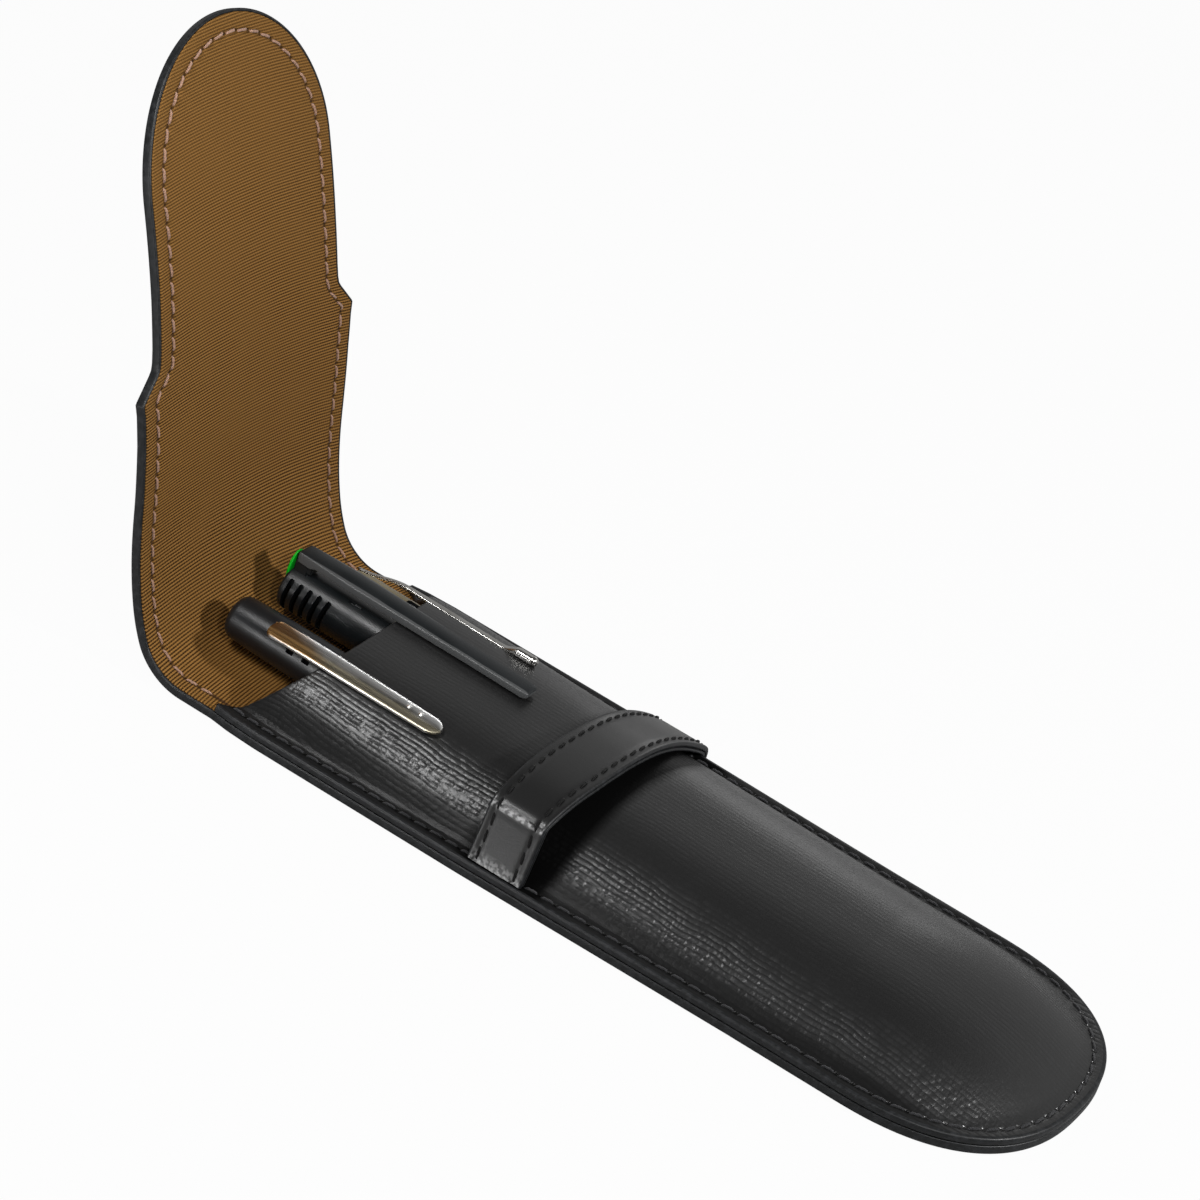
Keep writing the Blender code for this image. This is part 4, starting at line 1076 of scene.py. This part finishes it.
def loop_layer(name, low, high, inset, depth, looks):
    """One layer of the closure loop, swept over the pouch."""
    path, inward, lengths = loop_frame()
    seam = LOOP_WIDTH / 2 - LOOP_SEAM_INSET
    half = LOOP_WIDTH / 2 - inset
    ring = band_section(half, low, high, (-seam, seam), depth)
    points = np.zeros((len(path), len(ring), 3))
    plans = np.zeros((len(path), len(ring), 2))
    widths = np.array([loop_half(y, inset) for y in path[:, 0]]) / half
    rising = path[:, 0] < LOOP_RISE_END
    lowest = np.where(rising, path[0][1] - 0.25, path[-1][1])
    for j, (x, level) in enumerate(ring):
        moved = path + inward * level
        moved[rising, 1] = np.minimum.accumulate(moved[rising, 1][::-1])[::-1]
        moved[rising, 0] = np.maximum.accumulate(moved[rising, 0])
        points[:, j, 0] = LOOP_X + x * widths
        points[:, j, 1] = moved[:, 0]
        points[:, j, 2] = np.maximum(moved[:, 1], lowest)
        plans[:, j, 0] = lengths
        plans[:, j, 1] = x
    zones = [int(abs(x) > half - LOOP_PAINT) for x, _ in ring]
    surface = Surface()
    surface.tube(points, plans, np.full(plans.shape, OFF_SEAM), zones, 1)
    return surface.piece(name, looks)


def loop_seams():
    """The two sewn lines along the loop."""
    path, inward, _ = loop_frame()
    normals = np.stack([np.zeros(len(path)), -inward[:, 0], -inward[:, 1]], axis=1)
    lines = []
    for side in (-1.0, 1.0):
        points = [(LOOP_X + side * loop_half(y, LOOP_SEAM_INSET), y, z) for y, z in path]
        lines.append(Seam(points, normals, path[:, 0]))
    return lines


def placed(rings, matrix):
    """Rings of points brought from a piece's own frame to the model's."""
    return np.array([[tuple(matrix @ Vector(point)) for point in ring] for ring in rings])


def turned(name, profile, matrix, looks, sides=96):
    """A round piece about its own X axis, from a profile of (x, radius), closed on the axis."""
    rings = [[(x, radius * math.cos(a), radius * math.sin(a)) for a in circle(sides)]
             for x, radius in profile]
    plans = np.array([[(x, radius * a) for a in circle(sides)] for x, radius in profile])
    surface = Surface()
    surface.grid(placed(rings, matrix), plans, plans, [0] * sides, wrap=True)
    return surface.piece(name, looks, 35.0)


def round_profile(corners, radius, steps=4):
    """A profile whose corners are rounded, for a turned piece."""
    points = [np.array(corner, float) for corner in corners]
    made = points[:1]
    for before, corner, after in zip(points, points[1:], points[2:]):
        back, ahead = before - corner, after - corner
        cut = min(radius, np.linalg.norm(back) / 2.01, np.linalg.norm(ahead) / 2.01)
        made += [curve(corner + unit(back) * cut, corner, corner + unit(ahead) * cut, t)
                 for t in np.linspace(0.0, 1.0, steps + 1)]
    return [tuple(point) for point in made + points[-1:]]


# Pens: places of their free ends, and the tilt of all three
PEN_PITCH = 1.1
NEAR_END = (-11.2, -11.15, 8.02)
MIDDLE_END = (-10.9, 5.3, 8.078)
FAR_END = (-5.0, 15.1, 7.363)
FAR_ROLL = -4.0
# Looks of the pen parts whose solids are kept
HIDDEN_PEN_LOOKS = {"near_pen_grip": "near", "near_pen_nose": "brushed",
                    "middle_pen_grip": "middle", "middle_pen_nose": "middle",
                    "far_pen_body": "brushed", "far_pen_nose": "brushed"}


def pen_matrix(end, roll=0.0):
    """Place of a pen's own axis, which starts at its free end."""
    return (Matrix.Translation(end)
            @ Matrix.Rotation(math.radians(PEN_PITCH), 4, "Y")
            @ Matrix.Rotation(math.radians(roll), 4, "X"))


def block(name, low, high, matrix, looks, rounding):
    """A box with rounded edges, used for clip roots and as a cutting tool."""
    bm = bmesh.new()
    bmesh.ops.create_cube(bm, size=1.0)
    for vert in bm.verts:
        vert.co = [a if place < 0 else b for a, b, place in zip(low, high, vert.co)]
    bmesh.ops.bevel(bm, geom=bm.edges, offset=rounding, segments=3, affect="EDGES")
    bm.transform(Matrix.Scale(MM, 4) @ matrix)
    mesh = bpy.data.meshes.new(name)
    bm.to_mesh(mesh)
    bm.free()
    shade(mesh)
    for look in looks:
        mesh.materials.append(look)
    return add_object(name, mesh)


def combine(target, tools, operation):
    """Join or cut a piece with tools, which are used up."""
    for tool in tools:
        change = target.modifiers.new("change", "BOOLEAN")
        change.operation = operation
        change.solver = "EXACT"
        change.object = tool
    bpy.context.view_layer.update()
    graph = bpy.context.evaluated_depsgraph_get()
    mesh = bpy.data.meshes.new_from_object(target.evaluated_get(graph))
    target.modifiers.clear()
    target.data = mesh
    for tool in tools:
        bpy.data.objects.remove(tool)
    shade(mesh)


def lofted(name, rings, matrix, looks, sharp=40.0):
    """A closed piece through rings of points along X, given in its own frame."""
    plans = np.array(rings)[..., :2]
    surface = Surface()
    surface.tube(placed(rings, matrix), plans, plans, [0] * len(rings[0]))
    return surface.piece(name, looks, sharp)


# Near pen, in its own frame: profiles as (x, radius), slots and clip
NEAR_RADIUS = 4.5
NEAR_END_PROFILE = ((0.0, 2.6), (0.0, 3.5), (0.9, 4.2), (5.0, 4.34))
NEAR_TAPER = ((10.0, 4.44), (18.0, NEAR_RADIUS))
NEAR_MOUTH_PROFILE = ((30.0, NEAR_RADIUS), (41.0, NEAR_RADIUS), (41.0, 3.0), (31.7, 3.0),
                      (31.7, 0.0))
NEAR_SLOTS = (13.7, 17.3)
NEAR_CLIP_SEAT = (10.2, -5.25, 6.109)
NEAR_CLIP_TILT = 25.0
NEAR_CLIP_LENGTH = 38.0
NEAR_CLIP_HALF = 2.1
NEAR_CLIP_HEAD = 1.3
NEAR_CLIP_TIP = 2.4
NEAR_CLIP_BEND = 12.0
CLIP_BUMPS = ((30.5, 0.85), (33.2, 0.75))


def near_clip_half(x):
    """Half the width of the near pen's clip: rounded head corners and a round tip."""
    head = NEAR_CLIP_HEAD * (1.0 - quarter(1.0 - x / NEAR_CLIP_HEAD))
    narrow = 1.0 - 0.1 * max(0.0, x - 16.0) / 20.0
    tip = quarter((x - NEAR_CLIP_LENGTH) / NEAR_CLIP_TIP + 1.0)
    return NEAR_CLIP_HALF * narrow * tip - head


def near_clip_ring(x):
    """Section of the near pen's clip: a lip on its near side, falling off on its far side."""
    half = max(0.02, near_clip_half(x))
    droop = 0.0035 * max(0.0, NEAR_CLIP_BEND - x) ** 2
    fade = float(np.clip(x / 4.0, 0.0, 1.0) * np.clip((37.9 - x) / 3.0, 0.0, 1.0))
    ring = []
    for share in np.linspace(-1.0, 1.0, 33):
        y = half * share
        z = 0.42 - droop - 0.32 * (1.0 - math.sqrt(max(0.0, 1.0 - abs(share) ** 9)))
        z -= 0.58 * (max(0.0, share + 0.15) / 1.15) ** 1.5
        z -= 0.05 * fade * math.exp(-((share + 0.3) / 0.5) ** 2)
        for place, side in CLIP_BUMPS:
            z += 0.3 * math.exp(-(((x - place) ** 2 + (y - side) ** 2) / 0.34 ** 2))
        ring.append((x, y, z))
    ring += [(x, half * share * 0.985, -0.4 + 0.3 * abs(share) ** 6 - droop)
             for share in np.linspace(1.0, -1.0, 17)]
    return ring


def near_pen(looks):
    """The near pen: matt black barrel with two small slots, and a broad polished clip."""
    place = pen_matrix(NEAR_END)
    profile = [(0.0, 0.0)] + round_profile(NEAR_END_PROFILE, 0.9, 6) + list(NEAR_TAPER)
    profile += round_profile(NEAR_MOUTH_PROFILE, 0.2)
    barrel = turned("near_pen_tapered_barrel", profile, place, [looks["near"]])
    slots = [block("slot", (start, -5.4, 1.75), (start + 1.6, -3.0, 3.6), place,
                   [looks["near"]], 0.1) for start in NEAR_SLOTS]
    combine(barrel, slots, "DIFFERENCE")

    _, out, up = NEAR_CLIP_SEAT
    tilt = math.radians(NEAR_CLIP_TILT)
    seat = place @ Matrix.Translation(NEAR_CLIP_SEAT) @ Matrix.Rotation(tilt, 4, "X")
    stations = [0.0, 0.08, 0.25, 0.5, 0.8, 1.1, 1.5, 2.0, 2.6]
    stations += [*np.linspace(3.2, 28.5, 40), *np.linspace(28.8, 35.6, 35)]
    stations += [35.6 + NEAR_CLIP_TIP * math.sin(a) for a in turns(6.0, 89.5, 14)]
    clip = lofted("near_pen_channel_clip", [near_clip_ring(x) for x in stations], seat,
                  [looks["clip"]])
    depth = math.hypot(out, up) - NEAR_RADIUS - 0.25
    turn = Matrix.Rotation(math.atan2(-out, up) - tilt, 4, "X")
    post = block("post", (1.0, -1.1, -depth), (4.6, 1.1, -0.55), seat @ turn, [looks["clip"]],
                 0.15)
    combine(clip, [post], "UNION")
    return ((barrel, "black_pen", "near_pen_barrel"), (clip, "polished_steel", "near_pen_clip"))


def bar_ring(x, half, low, high, rounding, steps=5, centre=0.0, crown=None):
    """Section of a bar with rounded edges; a crown arches its top."""
    side = half - rounding
    ring = arc(side, high - rounding, rounding, 0.0, 90.0, steps)
    if crown is not None:
        ring += [(side * share, high + crown * (1.0 - share * share))
                 for share in np.linspace(1.0, -1.0, 13)[1:-1]]
    ring += arc(-side, high - rounding, rounding, 90.0, 180.0, steps)
    ring += arc(-side, low + rounding, rounding, 180.0, 270.0, steps)
    ring += arc(side, low + rounding, rounding, 270.0, 360.0, steps)
    return [(x, centre + y, z) for y, z in ring]


# Middle pen, in its own frame: profiles as (x, radius), grooves and clip
MIDDLE_END_PROFILE = ((0.8, 3.1), (0.55, 3.1), (0.0, 3.7), (0.0, 4.25), (0.45, 4.6), (3.0, 4.6))
MIDDLE_MOUTH_PROFILE = ((20.0, 4.6), (41.0, 4.6), (41.0, 3.0), (31.7, 3.0), (31.7, 0.0))
PLUG_PROFILE = ((-0.25, 1.5), (-0.25, 3.2), (0.1, 3.65), (0.1, 3.0), (0.5, 2.8), (0.85, 2.8),
                (0.85, 0.5))
GROOVES = 5
GROOVE_PITCH = 2.08
MIDDLE_CLIP_SEAT = (0.95, 0.0, 7.078)
MIDDLE_CLIP_LENGTH = 52.05
MIDDLE_CLIP_TIP = 1.3
# Along the clip: its half width, its crown, its middle, its underside and its top
MIDDLE_CLIP_TABLES = (
    ((0.0, 1.95), (9.4, 2.5), (13.4, 2.6), (26.4, 2.35), (37.4, 2.05), (52.05, 1.95)),
    ((0.0, 0.1), (9.4, 0.5), (13.4, 0.55), (26.4, 0.4), (37.4, 0.2), (52.05, 0.12)),
    ((0.0, 0.0), (9.4, 0.05), (13.4, 0.05), (26.4, -0.1), (37.4, -0.3), (52.05, -0.5)),
    ((0.0, -0.65), (3.2, -0.65), (3.3, -0.12), (19.4, -0.15), (23.4, -0.1), (52.05, 0.0)),
    ((0.0, 1.5), (15.4, 1.42), (52.05, 1.42)),
)


def middle_clip_rings():
    """Sections of the middle pen's bar clip, with a rounded free end."""
    end = MIDDLE_CLIP_LENGTH - MIDDLE_CLIP_TIP
    stations = [0.0, 0.05, 0.15, 0.3, 0.5, 1.0, 1.75, 1.85, 2.2, *np.linspace(3.0, end, 44)]
    stations += [end + MIDDLE_CLIP_TIP * math.sin(a) for a in turns(8.0, 88.0, 10)]
    rings = []
    for x in stations:
        half, crown, centre, low, high = [between(x, table) for table in MIDDLE_CLIP_TABLES]
        trim = 0.25 * (1.0 - quarter(1.0 - x / 0.4))
        tip = 1.0 - quarter((x - end) / MIDDLE_CLIP_TIP)
        rings.append(bar_ring(x, half - trim - 0.75 * tip, low + trim + 0.5 * tip,
                              high - trim - 0.45 * tip, 0.22, 4, centre, crown * (1.0 - tip)))
    return rings


def green_shoulder(place, looks):
    """The raised part of the green plug, which carries the clip's root."""
    rows = []
    for turn in turns(3.0, 177.0, 22):
        reach = math.sin(turn) ** 0.75
        x = 0.1 - (0.95 if math.cos(turn) > 0 else 0.35) * math.cos(turn)
        rows.append([(x, 2.4 * reach * math.cos(a), 3.7 + 4.05 * reach * math.sin(a))
                     for a in circle(48)])
    return lofted("shoulder", rows, place, looks, 60.0)


def middle_pen(looks):
    """The middle pen: satin black grooved cap, bright green plug, long bar clip."""
    place = pen_matrix(MIDDLE_END)
    black, green, bar = [[looks[label]] for label in ("middle", "green", "bar")]
    profile = [(0.9, 0.0), (0.9, 3.1)] + round_profile(MIDDLE_END_PROFILE, 0.25)
    profile += round_profile(MIDDLE_MOUTH_PROFILE, 0.25)
    cap = turned("middle_pen_grooved_cap", profile, place, black, 128)
    tools = []
    for index in range(GROOVES):
        centre = Matrix.Translation((1.75 + index * GROOVE_PITCH, 0.0, 0.1))
        tilt = Matrix.Rotation(0.07 + 0.018 * index, 4, "Y")
        tools.append(block("groove", (-0.52, -6.5, -3.2), (0.52, -2.8, 3.3),
                           place @ centre @ tilt, black, 0.16))
    tools.append(block("notch", (13.3, -1.6, 3.9), (14.5, -0.8, 6.0), place, black, 0.1))
    combine(cap, tools, "DIFFERENCE")
    tab = block("tab", (14.6, -1.7, 3.9), (16.1, -1.1, 4.75), place, black, 0.12)
    saddle = block("saddle", (0.55, -1.7, 1.5), (3.6, 1.7, 6.8), place, black, 0.3)
    combine(cap, [tab, saddle], "UNION")

    profile = [(-0.25, 0.0)] + round_profile(PLUG_PROFILE, 0.3) + [(0.85, 0.0)]
    plug = turned("middle_pen_round_plug", profile, place, green)
    combine(plug, [green_shoulder(place, green)], "UNION")

    seat = place @ Matrix.Translation(MIDDLE_CLIP_SEAT)
    clip = lofted("middle_pen_bar_clip", middle_clip_rings(), seat, bar)
    combine(clip, [block("post", (1.7, -1.6, -2.2), (3.4, 1.6, 0.3), seat, bar, 0.2)], "UNION")
    return ((cap, "black_pen", "middle_pen_cap"), (plug, "green_plug", "middle_pen_end_plug"),
            (clip, "black_pen", "middle_pen_clip"))


# Far pen, in its own frame: profile as (x, radius) and clip
FAR_RADIUS = 3.7
FAR_DOME = 2.0
FAR_MOUTH_PROFILE = ((10.0, FAR_RADIUS), (38.0, FAR_RADIUS), (38.0, 2.4), (28.7, 2.4), (28.7, 0.0))
FAR_CLIP_LENGTH = 39.6
FAR_CLIP_HALVES = ((0.0, 0.38), (6.0, 0.45), (18.0, 0.75), (32.0, 0.68))
FAR_CLIP_THICK = 0.5
FAR_CLIP_RAMP = 11.0
FAR_BULB_START = 7.0
FAR_BULB_EASE = 3.6
FAR_BALL = 1.0


def far_clip_lift(x):
    """How far the far pen's clip stands off its root."""
    ease = 0.5 - 0.5 * math.cos(math.pi * min(1.0, x / FAR_CLIP_RAMP))
    return ease * (2.0 - 0.14 * x / FAR_CLIP_LENGTH)


def far_clip_bulb(x):
    """How far the far pen's clip has swelled towards its round end."""
    share = (x - FAR_CLIP_LENGTH + FAR_BULB_START) / FAR_BULB_EASE
    share = min(1.0, max(0.0, share))
    return share * share * (3.0 - 2.0 * share)


def far_clip_rings():
    """Sections of the far pen's narrow clip, which lifts off its root."""
    rings = []
    for x in [0.0, 0.06, 0.2, 0.45, 0.8, *np.linspace(1.2, FAR_CLIP_LENGTH - 0.6, 90)]:
        half = between(x, FAR_CLIP_HALVES)
        half *= math.sqrt(max(0.05, 1.0 - max(0.0, 1.0 - x / 0.8) ** 2))
        bulb = far_clip_bulb(x)
        lift = far_clip_lift(x)
        rings.append(bar_ring(x, half + 0.33 * bulb, lift, lift + FAR_CLIP_THICK + 1.35 * bulb,
                              0.2 + 0.6 * bulb))
    return rings


def far_pen(looks):
    """The far pen: slim steel cap with a slot, and a narrow clip that ends in a ball."""
    place = pen_matrix(FAR_END, FAR_ROLL)
    profile = [(FAR_DOME * (1 - math.cos(a)), FAR_RADIUS * math.sin(a))
               for a in turns(0.0, 90.0, 11)]
    profile += round_profile(FAR_MOUTH_PROFILE, 0.15)
    cap = turned("far_pen_steel_cap", profile, place, [looks["brushed"]])
    cap.data.materials.append(looks["near"])
    slot = block("slot", (13.0, -0.9, 2.7), (16.4, 0.9, 5.0), place,
                 [looks["brushed"], looks["near"]], 0.25)
    for polygon in slot.data.polygons:
        polygon.material_index = 1
    combine(cap, [slot], "DIFFERENCE")

    seat = place @ Matrix.Translation((1.4, 0.0, 4.0))
    clip = lofted("far_pen_narrow_clip", far_clip_rings(), seat, [looks["polished"]])
    end = (FAR_CLIP_LENGTH - 0.4, 0.0, far_clip_lift(FAR_CLIP_LENGTH) + FAR_BALL - 0.05)
    ball = turned("ball", [(-x, radius) for x, radius in arc(0.0, 0.0, FAR_BALL, 0.0, 180.0, 24)],
                  seat @ Matrix.Translation(end), [looks["polished"]], 48)
    combine(clip, [ball], "UNION")
    return ((cap, "brushed_steel", "far_pen_cap"), (clip, "polished_steel", "far_pen_clip"))


def blend_ends(places):
    """Places (x, z) of a bend's two ends as points in metres."""
    return [(x * MM, 0.0, z * MM) for x, z in places]


def fold_bends():
    """For each bend of the fold, its first and last run, and the bodies and points of its blend."""
    bodies = ["pouch", *[f"fold_{number}" for number in range(1, len(BENDS))], "flap"]
    bends = []
    for index, (before, _, after) in enumerate(BENDS):
        start = BEND_START + index * FOLD_PITCH
        blend = (bodies[index], bodies[index + 1], *blend_ends((before, after)))
        bends.append((start, start + FOLD_PITCH, blend))
    return bends


def tongue_blend():
    """The bodies and points of the bend between flap and tongue."""
    ends = [strap_line(run)[0] for run in (TONGUE_BEND_START, TONGUE_BEND_END)]
    return ("flap", "tongue", *blend_ends(ends))


def attach(piece, bodies, nodes=()):
    """Parent a piece to the body that it moves with, or fix it where it lies on a bend, and hide
    the parts that it replaces.
    """
    if isinstance(bodies, str):
        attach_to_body(piece, bodies)
    else:
        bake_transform(piece)
    if nodes:
        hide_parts(*nodes)


def strap(looks):
    """Back leather and lining, from the pouch's tip over the fold to the tongue's tip."""
    seam = strap_seam(STACK - NEUTRAL)
    layers = (
        ("leather", leather_section(), 0.16, [looks["back"], looks["edge"]], "black_leather",
         "back_panel"),
        ("lining", lining_section(), 0.2, [looks["twill"]], "tan_twill", "back_lining"),
    )
    steps = [FLAP_RUN + distance for distance, _ in FLAP_SIDE]
    for label, section, depth, finish, slot, floor_node in layers:
        layer = (section, seam, depth, finish)
        runs = spaced(BEND_START, -(POUCH_LENGTH - TIP_LENGTH), FLOOR_STEP)
        made = tipped_layer(f"pouch_{label}", runs, pouch_tip, -POUCH_FAN, section, None, 0.0,
                            finish)
        attach(made, "pouch", [floor_node])
        for number, (start, end, blend) in enumerate(fold_bends(), 1):
            made = strap_strip(f"fold_bend_{number}_{label}", spaced(start, end, FOLD_STEP),
                               *layer)
            attach(made, blend, [f"fold_{label}_{number}"] if number < len(BENDS) else ())
        runs = spaced(BEND_END, TONGUE_BEND_START, FLAP_STEP, steps)
        attach(strap_strip(f"flap_{label}_sheet", runs, *layer), "flap", [f"flap_{label}"])
        runs = spaced(TONGUE_BEND_START, TONGUE_BEND_END, TONGUE_BEND_STEP, steps)
        attach(strap_strip(f"tongue_bend_{label}", runs, *layer), tongue_blend())
        runs = spaced(TONGUE_BEND_END, TONGUE_SHOULDER, TONGUE_STEP, steps)
        made = tipped_layer(f"tongue_{label}_sheet", runs, tongue_tip, TONGUE_SHOULDER, *layer)
        attach(made, "tongue", [f"tongue_{label}"])
    strap_threads(seam, "lining", looks["tan_thread"], 1.0)
    strap_threads(strap_seam(-NEUTRAL), "leather", looks["black_thread"], -1.0)


def strap_threads(seam, label, look, flip):
    """The stitches of the strap, one object for each body or bend that they lie on."""
    lined = label == "lining"
    stretches = [("pouch", -1.0, BEND_START, "pouch", ())]
    for number, (start, end, blend) in enumerate(fold_bends(), 1):
        stretches.append((f"fold_bend_{number}", start, end, blend, ()))
    stretches += [
        ("flap", BEND_END, TONGUE_BEND_START, "flap", ("flap_thread_near", "flap_thread_far")),
        ("tongue_bend", TONGUE_BEND_START, TONGUE_BEND_END, tongue_blend(), ()),
        ("tongue", TONGUE_BEND_END, math.inf, "tongue", ("tongue_thread",)),
    ]
    for name, start, end, bodies, nodes in stretches:
        made = sewn(f"{name}_stitches_{label}", seam, lambda run: start <= run < end, look,
                    flip=flip)
        if made:
            attach(made, bodies, nodes if lined else ())


def pouch(looks):
    """The front panel, the closure loop and their stitches."""
    panel, line = front_panel(looks)
    attach(panel, "pouch", ["front_panel"])
    made = sewn("pouch_seam_stitches", line, lambda tag: tag > 1.0, looks["black_thread"])
    attach(made, "pouch", ["pouch_seam_thread"])
    for name, low, high, inset, depth, node in LOOP_LAYERS:
        made = loop_layer(name, low, high, inset, depth, [looks["loop"], looks["edge"]])
        attach(made, "pouch", [node])
    for name, seam in zip(("loop_thread_mouth_side", "loop_thread_tip_side"), loop_seams()):
        made = sewn(f"{name}_stitches", seam, lambda tag: True, looks["dark_thread"], 0.22)
        attach(made, "pouch", [name])


def pens(looks):
    """The three pens: new pieces for what shows, better materials for the rest."""
    for maker, body in ((near_pen, "near_pen"), (middle_pen, "middle_pen"), (far_pen, "far_pen")):
        for piece, slot, node in maker(looks):
            attach(piece, body, [node])
    for node, look in HIDDEN_PEN_LOOKS.items():
        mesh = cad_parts[node].data
        if not mesh.materials:
            mesh.materials.append(None)
        for index in range(len(mesh.materials)):
            mesh.materials[index] = looks[look]


def area_light(name, place, target, size, power):
    """A soft square lamp at a place, aimed at a target, both in millimetres."""
    data = bpy.data.lights.new(name, "AREA")
    data.shape = "SQUARE"
    data.size = size * MM
    data.energy = power
    lamp = add_object(name, data)
    lamp.location = Vector(place) * MM
    lamp.rotation_euler = (Vector(target) - Vector(place)).to_track_quat("-Z", "Y").to_euler()


# Lamps: name, place, target, size and power
LAMPS = (
    ("key", (324.0, -326.0, 414.0), (10.0, 0.0, 20.0), 60.0, 1.2),
    ("tip_side", (453.0, 41.0, 317.0), (-15.0, 0.0, 12.0), 45.0, 2.1),
    ("mouth_side", (-60.0, -108.0, 218.0), (30.0, -22.0, 9.0), 60.0, 0.33),
    ("front_low", (-112.0, -400.0, 65.0), (20.0, -25.0, 10.0), 100.0, 0.65),
    ("tip_back", (-1.0, 366.0, 101.0), (130.0, 0.0, 10.0), 90.0, 0.04),
)
FLOOR_WHITE = 0.965
ROOM_LEVEL = 0.04
BACKDROP_LEVEL = 0.45
CEILING_LEVEL = 0.04


def studio():
    """Pale floor, even white surroundings and soft lamps."""
    bpy.ops.mesh.primitive_plane_add(size=6.0, location=(0.0, 0.0, -0.0002))
    floor = bpy.context.object
    floor.name = "studio_floor"
    g = material("pale_floor")
    g.set(Base_Color=(0.35, 0.35, 0.35), Roughness=0.9, Specular_IOR_Level=0.1)
    seen = g.node("LightPath", output="Is Camera Ray") * FLOOR_WHITE
    white = g.node("Emission", {"Color": (1.0, 1.0, 1.0), "Strength": 1.0})
    mixed = g.node("MixShader", {0: seen, 1: Value(g, g.shader.outputs[0]), 2: white})
    g.put(g.tree.nodes["Material Output"].inputs[0], mixed)
    floor.data.materials.append(g.owner)
    surroundings()
    for lamp in LAMPS:
        area_light(*lamp)


def surroundings():
    """White seen directly; for the light it gives, a bright backdrop and a dim room."""
    world = bpy.data.worlds.new("studio_world")
    bpy.context.scene.world = world
    g = Graph(world, "Background")
    back, up = [g.node("SeparateXYZ", {0: g.place("Generated")}, axis) for axis in ("Y", "Z")]
    behind = g.ramp(back, -0.1, 0.6, interpolation_type="SMOOTHSTEP")
    low = g.ramp(up, 0.84, 0.6, interpolation_type="SMOOTHSTEP")
    room = g.ramp(behind * low, 0.0, 1.0, ROOM_LEVEL, BACKDROP_LEVEL)
    ceiling = g.ramp(up, 0.75, 0.95, 0.0, CEILING_LEVEL)
    seen = g.node("LightPath", output="Is Camera Ray")
    g.set(Color=(1.0, 1.0, 1.0), Strength=g.math("MAXIMUM", room + ceiling, seen))


# The photograph's view: azimuth, elevation and roll, place of the camera and its lens
VIEW_ANGLES = (23.462, 32.084, 17.196)
VIEW_PLACE = (293.7007, -557.9966, 424.3765)
VIEW_LENS = 124.44


def camera():
    """The camera at the photograph's view."""
    azimuth, elevation, roll = [math.radians(angle) for angle in VIEW_ANGLES]
    back = Vector((math.sin(azimuth) * math.cos(elevation),
                   -math.cos(azimuth) * math.cos(elevation), math.sin(elevation)))
    level = Vector((math.cos(azimuth), math.sin(azimuth), 0.0))
    upright = back.cross(level)
    right = level * math.cos(roll) + upright * math.sin(roll)
    up = upright * math.cos(roll) - level * math.sin(roll)
    data = bpy.data.cameras.new("camera")
    data.lens = VIEW_LENS
    data.sensor_width = 36.0
    data.clip_start = 0.01
    data.clip_end = 20.0
    made = add_object("camera", data)
    turn = Matrix((right, up, back)).transposed().to_4x4()
    made.matrix_world = Matrix.Translation(Vector(VIEW_PLACE) * MM) @ turn
    bpy.context.scene.camera = made


bpy.context.scene.view_settings.view_transform = "Standard"
camera()
studio()
LOOKS = make_looks()
strap(LOOKS)
pouch(LOOKS)
pens(LOOKS)
